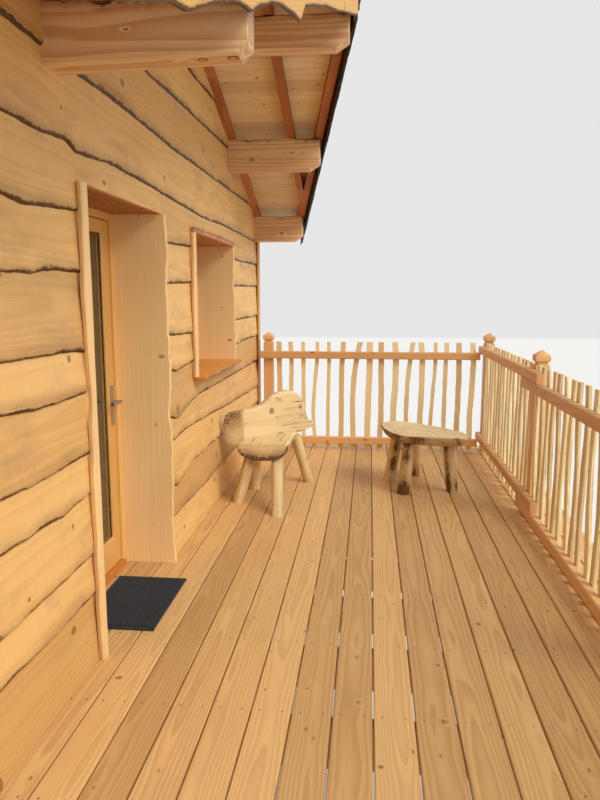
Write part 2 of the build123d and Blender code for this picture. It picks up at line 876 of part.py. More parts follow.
bench_leg_parts = [log_leg(top, foot, seat_bottom, leg_radius) for top, foot in seat_legs]
bench_leg_parts += [log_leg(top, foot, deck_top + back_bottom, leg_radius)
                    for top, foot in back_legs]
with BuildPart() as bench_legs:
    add(bench_leg_parts)

# Table: an uneven slab, waney below, on four log legs
slab_bottom = deck_top + table_height - slab_thickness
with BuildPart() as table_top:
    with BuildSketch(Plane.XY.offset(slab_bottom)):
        with BuildLine():
            Polyline(*[(table_x + x, table_y + y) for x, y in table_outline], close=True)
        make_face()
    extrude(amount=slab_thickness)
    chamfer(table_top.edges().group_by(Axis.Z)[0], slab_wane)

table_leg_parts = [
    log_leg((table_x + top[0], table_y + top[1]), (table_x + foot[0], table_y + foot[1]),
            slab_bottom, table_leg_radius)
    for top, foot in table_legs_at
]
with BuildPart() as table_legs:
    add(table_leg_parts)

# Door mat
with BuildPart() as door_mat:
    with BuildSketch(Plane.XY.offset(deck_top)):
        with Locations((mat_edge + mat_width / 2, (door_near + door_far) / 2)):
            Rectangle(mat_width, mat_length)
    extrude(amount=mat_thickness)

pieces = {
    "stilts": stilts.part,
    "bearers": bearers.part,
    "deck_joists": deck_joists.part,
    "deck_floor": deck_floor.part,
    "rim_boards": rim_boards.part,
    "cabin_floor": cabin_floor.part,
    "front_wall_piers": front_wall_piers.part,
    "front_wall_panels": front_wall_panels.part,
    "back_wall_piers": back_wall_piers.part,
    "back_wall_panels": back_wall_panels.part,
    "far_wall_piers": side_piers[1],
    "far_wall_panels": side_panels[1],
    "near_wall_piers": side_piers[-1],
    "near_wall_panels": side_panels[-1],
    "ridge_purlin": ridge_purlin,
    "far_purlin": far_purlin,
    "near_purlin": near_purlin,
    "far_eave_purlin": far_eave_purlin,
    "near_eave_purlin": near_eave_purlin.part,
    "rafters": rafters.part,
    "verge_rafters": verge_rafters.part,
    "far_roof_boards": far_roof_boards,
    "near_roof_boards": near_roof_boards,
    "far_covering": far_covering,
    "near_covering": near_covering,
    "ridge_cap": ridge_cap.part,
    "barge_boards": barge_boards.part,
    "door_lining": door_lining.part,
    "door_frame": door_frame.part,
    "door_sill": door_sill.part,
    "door_leaf": door_leaf.part,
    "door_glass": door_glass.part,
    "door_handles": door_handles.part,
    "door_hinges": door_hinges.part,
    "frame_hinges": frame_hinges.part,
    "window_linings": window_linings.part,
    "window_sills": window_sills.part,
    "window_frames": window_frames.part,
    "window_glass": window_glass.part,
    "railing_posts": railing_posts.part,
    "far_railing": far_railing,
    "outer_railing_far": outer_railing_far,
    "outer_railing_middle": outer_railing_middle,
    "outer_railing_near": outer_railing_near,
    "gate_railing": gate_railing,
    "side_railing": side_railing,
    "bench_seat": bench_seat.part,
    "bench_back": bench_back.part,
    "bench_legs": bench_legs.part,
    "table_top": table_top.part,
    "table_legs": table_legs.part,
    "door_mat": door_mat.part,
}
for name, piece in pieces.items():
    piece.label = name
    export_step(piece, f"parts/{name}.step")
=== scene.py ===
import math

import bmesh
import bpy
import numpy as np
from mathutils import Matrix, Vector


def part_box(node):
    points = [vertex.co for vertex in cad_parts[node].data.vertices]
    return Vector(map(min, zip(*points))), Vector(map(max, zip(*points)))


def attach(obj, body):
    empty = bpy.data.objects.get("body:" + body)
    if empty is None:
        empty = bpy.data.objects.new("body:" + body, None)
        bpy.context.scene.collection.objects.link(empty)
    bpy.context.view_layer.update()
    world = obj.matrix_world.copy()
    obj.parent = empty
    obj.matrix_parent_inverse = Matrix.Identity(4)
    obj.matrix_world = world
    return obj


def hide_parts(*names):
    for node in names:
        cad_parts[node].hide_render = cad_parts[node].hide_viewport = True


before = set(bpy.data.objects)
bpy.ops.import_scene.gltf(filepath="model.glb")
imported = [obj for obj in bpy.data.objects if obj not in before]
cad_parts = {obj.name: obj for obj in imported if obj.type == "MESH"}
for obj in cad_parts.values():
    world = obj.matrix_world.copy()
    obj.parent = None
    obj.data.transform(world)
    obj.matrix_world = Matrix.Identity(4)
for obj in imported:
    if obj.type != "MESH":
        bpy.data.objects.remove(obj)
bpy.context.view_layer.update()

# Values repeated from the part's source, in metres
DECK = 2.4
SIDE = 2.46
CLAD = 0.03
CABIN_SIDE = SIDE + CLAD
BACK = -5.4
RIDGE = 5.545
FALLS = {1: 0.377, -1: 0.34}
RAFTER, SOFFIT, COVERING = 0.08, 0.02, 0.04
DECK_NEAR, DECK_FAR, DECK_WIDTH, DECK_BOARD, DECK_EDGE = -4.56, 2.65, 2.5, 0.028, -0.28
RIM, RIM_DEPTH = 0.035, 0.19
DOOR_NEAR, DOOR_FAR, DOOR_HEAD = -1.66, -0.65, 1.94
LINING = 0.03
PROUD = 0.055
REVEAL = 0.242
WINDOW_REVEAL = 0.28
WINDOW_MIDDLE, WINDOW_WIDTH, WINDOW_LOW, WINDOW_HIGH = 0.59, 1.2, 1.0, 1.9
VERGE_RIDGE, VERGE_IN = 1.022, {1: 0.199, -1: 0.144}
EAVE = SIDE + 0.38

X, Y, Z = np.eye(3)
RIDGE_POINT = RIDGE * Z
SLOPES = {1: "far", -1: "near"}
# Each slope's directions down the roof and up out of it, and its length from ridge to eave
DOWN, UP, REACH = {}, {}, {}
for slope, fall in FALLS.items():
    pitch = math.atan(fall)
    DOWN[slope] = np.array((0, slope * math.cos(pitch), -math.sin(pitch)))
    UP[slope] = np.array((0, slope * math.sin(pitch), math.cos(pitch)))
    REACH[slope] = EAVE / math.cos(pitch)
# Each wall's outer face: a point at deck level, its level direction and its outward one
FRONT, REAR = (DECK * Z, Y, X), (BACK * X + DECK * Z, Y, -X)
FAR_SIDE, NEAR_SIDE = [(way * SIDE * Y + DECK * Z, X, way * Y) for way in (1, -1)]


def roof_line(y):
    """Height of the rafters' undersides at a place across the roof."""
    y = np.asarray(y, float)
    return RIDGE - np.where(y >= 0, FALLS[1], FALLS[-1]) * np.abs(y)


def verge_x(slope, down):
    """Front verge at a distance down a slope."""
    return VERGE_RIDGE - VERGE_IN[slope] * down


def add(name, data):
    """Puts a new object into the scene."""
    made = bpy.data.objects.new(name, data)
    bpy.context.scene.collection.objects.link(made)
    return made


# Materials

# Each finish's material and slot, by the material's name
FINISHES = {}


def colour(code, share=1.0):
    """Linear colour from a hexadecimal code, made paler or darker by a share."""
    parts = [int(code[i:i + 2], 16) / 255 for i in (0, 2, 4)]
    linear = [p / 12.92 if p <= 0.04045 else ((p + 0.055) / 1.055) ** 2.4 for p in parts]
    return [min(1.0, p * share) for p in linear] + [1]


class Nodes:
    """Short calls for a material's node tree. Each value is a constant or a socket."""

    def __init__(self, name):
        self.material = bpy.data.materials.new(name)
        self.material.use_nodes = True
        self.tree = self.material.node_tree

    def fill(self, node, inputs):
        for key, value in inputs.items():
            if isinstance(value, bpy.types.NodeSocket):
                self.tree.links.new(value, node.inputs[key])
            else:
                node.inputs[key].default_value = value

    def node(self, kind, inputs=(), **settings):
        """A new node's outputs. inputs are its first ones in order, or go by name."""
        made = self.tree.nodes.new("ShaderNode" + kind)
        for key, value in settings.items():
            setattr(made, key, value)
        self.fill(made, inputs if isinstance(inputs, dict) else dict(enumerate(inputs)))
        return made.outputs

    def math(self, operation, *values):
        return self.node("Math", values, operation=operation)[0]

    def times(self, *values):
        return self.math("MULTIPLY", *values)

    def plus(self, *values):
        return self.math("ADD", *values)

    def less(self, *values):
        return self.math("SUBTRACT", *values)

    def vector(self, *values):
        return self.node("CombineXYZ", values)[0]

    def split(self, vector):
        return self.node("SeparateXYZ", [vector])

    def scaled(self, vector, scale, offset=(0, 0, 0)):
        return self.node("VectorMath", (vector, scale, offset), operation="MULTIPLY_ADD")[0]

    def place(self):
        return self.node("TexCoord")["Object"]

    def attribute(self, name, output="Fac"):
        return self.node("Attribute", attribute_name=name)[output]

    def noise(self, vector, detail=2.0, roughness=0.5):
        return self.node("TexNoise", {"Vector": vector, "Scale": 1.0, "Detail": detail,
                                      "Roughness": roughness})["Fac"]

    def fit(self, value, low, high, to_low=0.0, to_high=1.0, curve="SMOOTHSTEP"):
        return self.node("MapRange", (value, low, high, to_low, to_high),
                         interpolation_type=curve)[0]

    def mix(self, amount, first, second):
        return self.node("Mix", {0: amount, 6: first, 7: second}, data_type="RGBA")[2]

    def bump(self, height, strength, distance):
        return self.node("Bump", {"Height": height, "Strength": strength,
                                  "Distance": distance})[0]

    def finish(self, slot, inputs):
        """Sets the shader's inputs and files the material with its slot."""
        self.fill(self.tree.nodes["Principled BSDF"], inputs)
        FINISHES[self.material.name] = self.material, slot


def wood(name, slot, codes, ring=0.012, knots=1.0, contrast=0.6, rough=0.55, axis=None, coat=0.0,
         checks=0.0, weather=0.0, dense=1.0, sawn=0.0):
    """Timber whose rings run round the grain's x axis. codes are early wood, late wood and stain.

    Lofted pieces carry their own grain, tone and bark values; a CAD node takes its grain
    from its place, along the axis that is given.
    """
    n = Nodes(name)
    early, late, stain = [colour(code) for code in codes.split()]
    if axis is None:
        grain, tone, bark = n.attribute("grain", "Vector"), n.attribute("tone"), n.attribute("bark")
    else:
        x, y, z = n.split(n.place())
        order = {"X": (x, y, z), "Y": (y, x, z), "Z": (z, y, x)}[axis]
        grain = n.vector(*order)
        cell = n.node("TexVoronoi", {"Vector": n.vector(0.0, *order[1:]), "Scale": 4.0})
        tone = n.split(cell["Color"])[0]
    x, y, z = n.split(grain)
    radius = n.node("VectorMath", [n.vector(0.0, y, z)], operation="LENGTH")["Value"]
    angle = n.math("ARCTAN2", y, z)
    # Branches run out from the heart, so a knot is a cell in length and angle
    around = n.vector(n.times(x, 2.6 * dense), n.times(angle, 0.42 * dense), 0.0)
    cell = n.node("TexVoronoi", {"Vector": around, "Scale": 1.0}, voronoi_dimensions="2D")
    size = n.fit(n.split(cell["Color"])[0], 0.25, 1.0, 0.012, 0.052 * knots, "LINEAR")
    away = n.math("DIVIDE", cell["Distance"], size)
    knot = n.fit(away, 0.75, 1.05, 1.0, 0.0)
    rim = n.fit(n.math("ABSOLUTE", n.less(away, 1.0)), 0.05, 0.28, 1.0, 0.0)
    # Rings bend round the knots, wander and ripple
    bent = n.plus(radius, n.times(n.fit(away, 0.6, 4.2, 1.0, 0.0), 0.016))
    bent = n.plus(bent, n.times(n.noise(n.scaled(grain, (0.9, 5.0, 5.0))), 0.07))
    bent = n.plus(bent, n.times(n.noise(n.scaled(grain, (3.0, 26.0, 26.0))), 0.005))
    turn = n.math("FRACT", n.math("DIVIDE", bent, ring))
    line = n.times(n.fit(turn, 0.1, 0.88), n.fit(turn, 0.88, 1.0, 1.0, 0.0))
    fibre = n.noise(n.scaled(grain, (7.0, 420.0, 420.0)), 2.0, 0.6)
    patch = n.noise(n.scaled(grain, (1.9, 6.0, 6.0), (3.1, 0.0, 0.0)), 3.0)
    dark = n.mix(0.5, late, stain)
    base = n.mix(n.times(line, 0.85 * contrast), early, late)
    base = n.mix(n.fit(fibre, 0.35, 0.75, 0.0, 0.22 * contrast), base, dark)
    base = n.mix(n.fit(patch, 0.4, 0.8, 0.0, 0.3), base, late)
    base = n.mix(n.fit(tone, 0.0, 0.5, 0.38, 0.0, "LINEAR"), base, dark)
    base = n.mix(n.fit(tone, 0.5, 1.0, 0.0, 0.3, "LINEAR"), base, colour(codes[:6], 1.25))
    if weather:
        grey = n.noise(n.scaled(grain, (3.0, 8.0, 8.0), (7.7, 1.0, 0.0)), 4.0, 0.6)
        base = n.mix(n.fit(grey, 0.5, 0.72, 0.0, weather), base, colour("AC8A60"))
    ringed = n.math("FRACT", n.times(away, 3.0))
    core = n.mix(n.fit(ringed, 0.2, 0.9, 0.0, 0.6), dark, stain)
    base = n.mix(n.times(knot, 0.85), base, core)
    base = n.mix(n.times(rim, 0.62), base, stain)
    height = n.plus(n.times(line, 0.35), n.times(fibre, 0.5))
    if sawn:
        # Fine marks across the grain where the saw passed
        teeth = n.noise(n.vector(n.math("MULTIPLY_ADD", x, 190.0, n.times(y, 14.0)),
                                 n.times(y, 1.5), n.times(z, 1.5)), 1.0)
        base = n.mix(n.fit(teeth, 0.45, 0.7, 0.0, 0.2 * sawn), base, dark)
        height = n.plus(height, n.times(teeth, 0.6 * sawn))
    if checks:
        split = n.noise(n.vector(n.times(x, 1.4), n.times(angle, 9.0), n.times(radius, 3.0)),
                        3.0, 0.6)
        crack = n.fit(n.math("ABSOLUTE", n.less(split, 0.5)), 0.004, 0.014, 1.0, 0.0)
        crack = n.times(crack, n.fit(patch, 0.42, 0.5))
        base = n.mix(n.times(crack, checks), base, colour("2E1D12"))
        height = n.less(height, n.times(crack, 2.0))
    if axis is None:
        # Grey cambium fades out above the bark, which crumbles along its own edge
        scab = n.noise(n.scaled(grain, (34.0, 90.0, 90.0)), 4.0, 0.7)
        shade = n.mix(n.fit(scab, 0.35, 0.65), stain, colour(codes[-6:], 0.5))
        worn, smear = [n.plus(bark, n.times(n.less(patch, 0.5), share)) for share in (0.5, 0.6)]
        base = n.mix(n.fit(smear, 0.16, 0.55, 0.0, 0.42), base, colour("8E6C48"))
        cover = n.fit(n.plus(worn, n.times(n.less(scab, 0.5), 0.9)), 0.55, 0.75)
        base = n.mix(n.times(cover, 0.92), base, shade)
        height = n.plus(height, n.times(n.times(cover, scab), 2.5))
    n.finish(slot, {
        "Base Color": base, "Roughness": n.fit(fibre, 0.3, 0.8, rough - 0.08, rough + 0.12),
        "Specular IOR Level": 0.5 if coat else 0.2, "Coat Weight": coat, "Coat Roughness": 0.3,
        "Normal": n.bump(height, 0.35, 0.0012)})


wood("cladding_wood", "cladding_timber", "EDC07C D6A05C 54351F", 0.022, contrast=0.45,
     weather=0.35, sawn=0.5)
wood("purlin_wood", "purlin_timber", "E9C896 CB9267 4A2C1B", 0.026, contrast=0.85)
wood("soffit_wood", "soffit_timber", "F0D6AA DAB582 6E4224", 0.009, 1.1, rough=0.5, dense=2.4)
wood("deck_wood", "deck_timber", "E0B67A BE8F57 6B4526", 0.011, 0.55, 0.7, weather=0.15)
wood("railing_wood", "railing_timber", "E3B47C CA935C 6A3B20", 0.01, 0.8)
wood("picket_wood", "picket_timber", "EFDCAE D9B97C 96693C", knots=0.6)
wood("joinery_wood", "joinery_timber", "EEBE70 D59948 8A5526", 0.007, 0.25, rough=0.38, coat=0.25)
wood("kick_wood", "cladding_timber", "DB9143 B96C27 7A421C", 0.007, 0.0, rough=0.4)
wood("lining_wood", "cladding_timber", "F4CE94 E4B478 8A4A28", 0.024, 0.5, 0.35)
# Heads of the linings, seen from below: a darker, redder copy of the lining wood, painted shade
wood("shaded_head_wood", "cladding_timber", "C98A5A A5623A 5E2F1C", 0.014, 0.6)
wood("log_wood", "log_timber", "EBD3A2 D3AE74 6A4526", checks=0.85)
wood("stilt_wood", "round_timber", "A98560 86623F 4A3220", checks=0.8, weather=0.4)
# Barge boards but the near front one: the same boards as the verge wood in far darker wood, painted
# shade
wood("shaded_barge_wood", "bark_timber", "7A4C2C 5A331C 2A1A12", weather=0.2)
wood("verge_wood", "bark_timber", "E0B269 C48E48 55300F", 0.016, contrast=0.4)
# For CAD nodes
wood("sawn_wood_y", "sawn_timber", "BC9464 93683F 54371F", axis="Y", weather=0.3)
wood("sawn_wood_x", "sawn_timber", "BC9464 93683F 54371F", axis="X", weather=0.3)
wood("floor_wood", "sawn_timber", "C99C66 A97A46 6B4526", axis="X")
wood("panel_wood", "cladding_timber", "E0B87C C08E52 7A4E2C", knots=0.7, axis="Z")
wood("rafter_wood", "rafter_timber", "C27C48 965426 5A2F18", 0.006, 0.6, axis="Y")
wood("plate_wood", "purlin_timber", "D3A578 B57C4C 4A2C1B", axis="X")
wood("frame_wood", "joinery_timber", "EABA6E D19545 8A5526", 0.004, 0.2, rough=0.38, axis="Z",
     coat=0.25)
wood("door_sill_wood", "joinery_timber", "DB9143 B96C27 7A421C", 0.004, 0.0, rough=0.4, axis="Y")

for name, slot, code, rough, streak in (
        ("brushed_steel", "door_metal", "B9BBBC", 0.32, (30.0, 30.0, 400.0)),
        ("roof_zinc", "roof_metal", "8C9094", 0.5, (6.0, 90.0, 90.0))):
    n = Nodes(name)
    brushed = n.noise(n.scaled(n.place(), streak), 3.0, 0.6)
    n.finish(slot, {
        "Base Color": n.mix(n.fit(brushed, 0.3, 0.7, 0.0, 0.3), colour(code), colour(code, 0.6)),
        "Roughness": n.fit(brushed, 0.3, 0.7, rough - 0.06, rough + 0.08), "Metallic": 1.0})

# Mineral felt: coloured grains on bitumen, a shade of its own on each shingle
n = Nodes("mineral_felt")
grains = n.noise(n.scaled(n.place(), [420.0] * 3), 2.0, 0.7)
stain = n.noise(n.scaled(n.place(), [1.2] * 3), 4.0, 0.6)
shade = n.mix(n.attribute("tone"), colour("4A4744"), colour("6C6761"))
shade = n.mix(n.fit(grains, 0.4, 0.7), shade, colour("8A857C"))
shade = n.mix(n.fit(stain, 0.5, 0.75, 0.0, 0.45), shade, colour("4C4E3C"))
n.finish("roof_felt", {"Base Color": shade, "Roughness": 0.9,
                       "Normal": n.bump(grains, 0.5, 0.001)})

# Ribbed mat: dark pile with a few paler threads
n = Nodes("mat_pile")
pile = n.noise(n.scaled(n.place(), [700.0] * 3), 2.0, 0.7)
n.finish("mat_textile", {
    "Base Color": n.mix(n.fit(pile, 0.45, 0.7), colour("222326"), colour("47484C")),
    "Roughness": 0.95, "Normal": n.bump(pile, 0.8, 0.002)})

# Window glass that is clear, with the faint green of its thickness
Nodes("window_glass_pane").finish("glazing", {
    "Base Color": (0.93, 0.97, 0.96, 1), "Roughness": 0.02, "Transmission Weight": 1.0,
    "IOR": 1.45})


# Lofted timber

# The least angle, in degrees, at which an edge is drawn sharp
SHARP = 32


def steps(start, end, step):
    return np.linspace(start, end, max(2, int(math.ceil(abs(end - start) / step)) + 1))


def trace(us, points):
    """Heights at the places us of a line through points."""
    return np.interp(us, *np.transpose(points))


def rounded(low_v, high_v, low_w, high_w, r):
    """Corners of a rectangle with edges eased by r, two to a corner."""
    return [(low_v + r, low_w), (high_v - r, low_w), (high_v, low_w + r), (high_v, high_w - r),
            (high_v - r, high_w), (low_v + r, high_w), (low_v, high_w - r), (low_v, low_w + r)]


def outline(*corners):
    """A section for each station. A corner is (across, out), and both may be arrays."""
    values = np.broadcast_arrays(*[value for corner in corners for value in corner])
    return np.stack(values, -1).reshape(len(values[0]), -1, 2)


def circle(count, radius):
    turn = np.linspace(0, 2 * math.pi, count, endpoint=False)
    return radius * np.stack([np.cos(turn), np.sin(turn)], 1)


class Stock:
    """Gathers lofted pieces into one mesh, with grain, tone and bark on each point."""

    def __init__(self, seed=0):
        """seed may also be the generator of another stock, which both then draw from."""
        self.rng = np.random.default_rng(seed)
        self.points, self.grain, self.tone, self.bark, self.faces = [], [], [], [], []
        self.count = 0

    def waves(self, height, longest, terms=6):
        """A smooth random line of about the given height."""
        order = np.arange(1, terms + 1)
        phase = self.rng.uniform(0, 2 * math.pi, terms)
        rate = 2 * math.pi * order / longest * self.rng.uniform(0.8, 1.2, terms)
        size = height * self.rng.uniform(0.5, 1.0, terms) / order ** 0.9
        return lambda u: (size * np.sin(np.asarray(u, float)[..., None] * rate + phase)).sum(-1)

    def heart(self, middle, spread=0.06, depth=(0.05, 0.16)):
        """Where a board's grain starts, and its heart lies across it and behind its face."""
        return np.array([self.rng.uniform(0, 40), -middle + self.rng.uniform(-spread, spread),
                         self.rng.uniform(*depth)])

    def loft(self, rings, grain, tone, bark):
        stations, around = rings.shape[:2]
        index = self.count + np.arange(stations * around).reshape(stations, around)
        beside = np.roll(index, -1, axis=1)
        quads = np.stack([index[:-1], beside[:-1], beside[1:], index[1:]], axis=-1)
        self.faces += [*quads.reshape(-1, 4).tolist(), index[0][::-1].tolist(),
                       index[-1].tolist()]
        self.points.append(rings.reshape(-1, 3))
        self.grain.append(grain.reshape(-1, 3))
        self.tone.append(np.full(stations * around, tone))
        self.bark.append(np.broadcast_to(bark, (stations, around)).reshape(-1))
        self.count += stations * around

    def sweep(self, at, along, across, out, us, section, tone=None, bark=0.0, shift=None):
        """Lofts a section along a line. section is (points, 2), or (stations, points, 2)."""
        section, us = np.asarray(section, float), np.asarray(us, float)
        if section.ndim == 2:
            section = np.broadcast_to(section, (len(us),) + section.shape)
        if us.ndim == 1:
            us = np.broadcast_to(us[:, None], section.shape[:2])
        v, w = section[..., 0], section[..., 1]
        rings = at + us[..., None] * along + v[..., None] * across + w[..., None] * out
        offset = self.heart((v.min() + v.max()) / 2) if shift is None else shift
        self.loft(rings, np.stack([us, v, w], axis=-1) + offset,
                  self.rng.uniform(0, 1) if tone is None else tone, bark)

    def straight(self, low, high, axis, radius=0.003, shift=None):
        """A straight planed timber between two corners, running along an axis."""
        i = "XYZ".index(axis)
        j, k = [q for q in range(3) if q != i]
        offset = np.array([
            self.rng.uniform(0, 40), -(low[j] + high[j]) / 2 + self.rng.uniform(-0.05, 0.05),
            -(low[k] + high[k]) / 2 + self.rng.choice((-1, 1)) * self.rng.uniform(0.04, 0.12)])
        axes = np.eye(3)
        self.sweep(np.zeros(3), axes[i], axes[j], axes[k], steps(low[i], high[i], 0.25),
                   rounded(low[j], high[j], low[k], high[k], radius),
                   shift=offset if shift is None else shift)

    def piece(self, name, finish, *replaces, body="root", slot=None):
        """Makes a piece of the scene, which rides on a body and may replace CAD nodes."""
        mesh = bpy.data.meshes.new(name)
        mesh.from_pydata(np.concatenate(self.points).tolist(), [], self.faces)
        made = bmesh.new()
        made.from_mesh(mesh)
        bmesh.ops.recalc_face_normals(made, faces=made.faces)
        made.to_mesh(mesh)
        made.free()
        for key, kind, field, values in (("grain", "FLOAT_VECTOR", "vector", self.grain),
                                         ("tone", "FLOAT", "value", self.tone),
                                         ("bark", "FLOAT", "value", self.bark)):
            layer = mesh.attributes.new(key, kind, "POINT")
            layer.data.foreach_set(field, np.concatenate(values).astype(np.float32).ravel())
        mesh.shade_smooth()
        mesh.set_sharp_from_angle(angle=math.radians(SHARP))
        material, usual = FINISHES[finish]
        mesh.materials.append(material)
        made = add(name, mesh)
        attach(made, body)
        if replaces:
            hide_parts(*replaces)


# Live-edge cladding

# How far a board runs up behind the next, and how far its face leans back
LAP, LEAN = 0.035, 0.016


def cladding(stock, wall, span, rows, openings, line, step, gable=False):
    """Overlapping boards with a waney lower edge, cut round the openings and to the roof.

    A row is the level of a board's lower edge, or the (place, height) points along it.
    """
    at, along, out = wall
    levels = [row if np.isscalar(row) else float(np.mean(row, axis=0)[1]) for row in rows]
    for number, (row, low, high) in enumerate(zip(rows, levels, levels[1:])):
        top = high + LAP
        sag, ragged = stock.waves(0.007, 1.5), stock.waves(0.0013, 0.13, 9)
        wane = stock.waves(0.007, 0.9)
        tone = stock.rng.uniform(0, 1)
        offset = stock.heart((low + high) / 2, 0.05)
        crossed = [o for o in openings if o[2] < top and o[3] > low]
        cuts = sorted({*span, *[place for opening in crossed for place in opening[:2]]})

        def face(height):
            return CLAD - LEAN * np.clip((height - low) / (top - low), 0, 1)

        for start, end in zip(cuts, cuts[1:]):
            if gable:
                rise = RIDGE - DECK - low - 0.02
                start, end = max(start, -rise / FALLS[-1]), min(end, rise / FALLS[1])
            if end - start < 0.01:
                continue
            bands = [(low, top, gable or number > 0)]
            for left, right, bottom, head in crossed:
                if left < (start + end) / 2 < right:
                    bands = [(low, bottom, gable or number > 0), (head, top, False)]
            for base, ceiling, live in bands:
                if ceiling <= base + 0.01:
                    continue
                us = steps(start, end, step)
                lower = base + 0 * us
                if live:
                    lower = low + sag(us) if np.isscalar(row) else trace(us, row)
                    lower = lower + ragged(us)
                upper = np.minimum(ceiling, line(us))
                lower = np.minimum(lower, upper - 0.012)
                depth = np.minimum(np.clip(0.018 + wane(us), 0.006, 0.045) if live else 0.001,
                                   (upper - lower) * 0.4)
                nose = lower + depth
                above = np.minimum(nose + 0.06, (nose + upper) / 2)
                section = outline(
                    (lower + 0.008, 0.001), (lower, 0.013), (lower + depth * 0.35, CLAD - 0.007),
                    (nose, CLAD - 0.001), (nose + 0.004, face(nose + 0.004)),
                    (above, face(above)), (upper, face(upper)), (upper, 0.001))
                bark = [1, 1, 0.85, 0.5, 0.45, 0.12, 0, 0] if live else 0.0
                stock.sweep(at, along, Z, out, us, section, tone, bark, offset)


def below_roof(us):
    return roof_line(us) - DECK - 0.001


# Lower edges of the front boards, from the deck up: near the door, beyond it, in the gable
near_rows = [
    0.002, [(-2.49, 0.3), (-1.69, 0.29)], [(-2.49, 0.46), (-2.0, 0.455), (-1.69, 0.462)],
    [(-2.49, 0.72), (-2.05, 0.71), (-1.95, 0.7), (-1.75, 0.72), (-1.69, 0.73)],
    [(-2.49, 0.89), (-2.1, 0.88), (-1.69, 0.88)],
    [(-2.49, 1.15), (-2.34, 1.148), (-2.11, 1.128), (-1.69, 1.127)],
    [(-2.49, 1.308), (-2.07, 1.306), (-1.8, 1.3), (-1.69, 1.289)],
    [(-2.49, 1.588), (-2.09, 1.583), (-1.9, 1.602), (-1.69, 1.598)],
    [(-2.49, 1.82), (-2.25, 1.821), (-2.12, 1.801), (-1.69, 1.831)], 2.05,
]
far_rows = [
    0.002, 0.23,
    [(-0.62, 0.43), (-0.45, 0.4), (-0.3, 0.42), (-0.1, 0.465), (1.0, 0.455), (2.49, 0.45)],
    [(-0.62, 0.69), (-0.45, 0.683), (-0.2, 0.7), (0.1, 0.69), (1.2, 0.64), (2.49, 0.6)],
    [(-0.62, 0.824), (-0.53, 0.82), (-0.45, 0.8), (-0.35, 0.8), (-0.2, 0.83), (0.1, 0.865),
     (2.49, 0.87)],
    [(-0.62, 1.1), (-0.5, 1.09), (-0.42, 1.074), (-0.25, 1.085), (0.1, 1.1), (2.49, 1.12)],
    [(-0.62, 1.29), (-0.45, 1.285), (0.05, 1.271), (1.2, 1.305), (2.49, 1.31)],
    [(-0.62, 1.572), (-0.02, 1.59), (1.3, 1.585), (2.49, 1.597)],
    [(-0.62, 1.795), (-0.03, 1.808), (1.2, 1.8), (2.49, 1.802)], 2.03,
]
gable_rows = [
    [(-2.49, 2.08), (-1.98, 2.06), (-1.76, 2.074), (-1.67, 2.046), (-1.58, 2.05), (-1.34, 2.071),
     (-0.7, 2.056), (0.28, 2.023), (1.0, 2.035), (2.49, 2.02)],
    [(-2.0, 2.35), (-1.61, 2.34), (-1.34, 2.347), (-0.93, 2.341), (-0.38, 2.325), (2.19, 2.335)],
    [(-1.4, 2.6), (-0.75, 2.601), (0.0, 2.621), (1.17, 2.639)], 2.87, 3.2,
]
plain_rows = [-0.2, 0.03, 0.24, 0.47, 0.66, 0.9, 1.13, 1.33, 1.58, 1.78, 2.01, 2.25, 2.5, 2.72,
              2.95, 3.2]


def window_in(middle):
    """An opening is its two sides, its bottom and its head."""
    return (middle - WINDOW_WIDTH / 2 - LINING, middle + WINDOW_WIDTH / 2 + LINING,
            WINDOW_LOW - LINING, WINDOW_HIGH + LINING)


door_near, door_far = DOOR_NEAR - LINING, DOOR_FAR + LINING
front = Stock(11)
for span, rows, openings, step in (
        ((-CABIN_SIDE, door_near), near_rows, [], 0.012),
        ((door_near, door_far), [1.81, 2.05], [(door_near, door_far, -1.0, DOOR_HEAD + 0.001)],
         0.06),
        ((door_far, CABIN_SIDE), far_rows, [window_in(WINDOW_MIDDLE)], 0.016)):
    cladding(front, FRONT, span, rows, openings, below_roof, step)
cladding(front, FRONT, (-CABIN_SIDE, CABIN_SIDE), gable_rows, [], below_roof, 0.018, True)
front.piece("front_cladding", "cladding_wood")

rest = Stock(12)
for rows, openings, gable in ((plain_rows[:11], [window_in(WINDOW_MIDDLE)], False),
                              (plain_rows[10:], [], True)):
    cladding(rest, REAR, (-CABIN_SIDE, CABIN_SIDE), rows, openings, below_roof, 0.05, gable)
deck_strip = (DECK_EDGE - RIM - 0.002, 0.0, -1.0, 0.002)
for wall, way, more in ((FAR_SIDE, 1, []), (NEAR_SIDE, -1, [deck_strip])):
    eave = below_roof(way * CABIN_SIDE)
    cladding(rest, wall, (BACK, 0), plain_rows[:11] + [2.3], [window_in(BACK / 2)] + more,
             lambda us: eave + 0 * us, 0.05)
rest.piece("side_cladding", "cladding_wood")

# Deck

FIRST_GAP, BOARD_PITCH, BOARD_GAP = -0.178, 0.15, 0.006
JOISTS = np.linspace(DECK_NEAR + 0.03, DECK_FAR - 0.03, 15)
SCREW = 0.004
deck, screws = Stock(), Stock()


def lay(seed, x_low, x_high, y_low, y_high):
    """Deck boards on the common grid of gaps, over one rectangle of the deck."""
    for number in range(-1, 18):
        left = FIRST_GAP + BOARD_PITCH * number + BOARD_GAP / 2
        right = left + BOARD_PITCH - BOARD_GAP
        low, high = max(left, x_low), min(right, x_high)
        if high - low < 0.01:
            continue
        deck.rng = screws.rng = np.random.default_rng(seed + number)
        draw = deck.rng.uniform
        shift = -(left + right) / 2 + draw(-0.05, 0.05), -DECK + draw(0.03, 0.12)
        deck.straight((low, y_low, DECK - DECK_BOARD), (high, y_high, DECK), "Y", 0.004,
                      np.array([draw(0, 40), *shift]))
        for y in JOISTS[(JOISTS > y_low) & (JOISTS < y_high)] if high - low > 0.1 else ():
            for x in (low + 0.03, high - 0.03):
                screws.sweep((x, y, DECK), Z, X, Y, [-0.003, 0.0004], circle(8, SCREW))


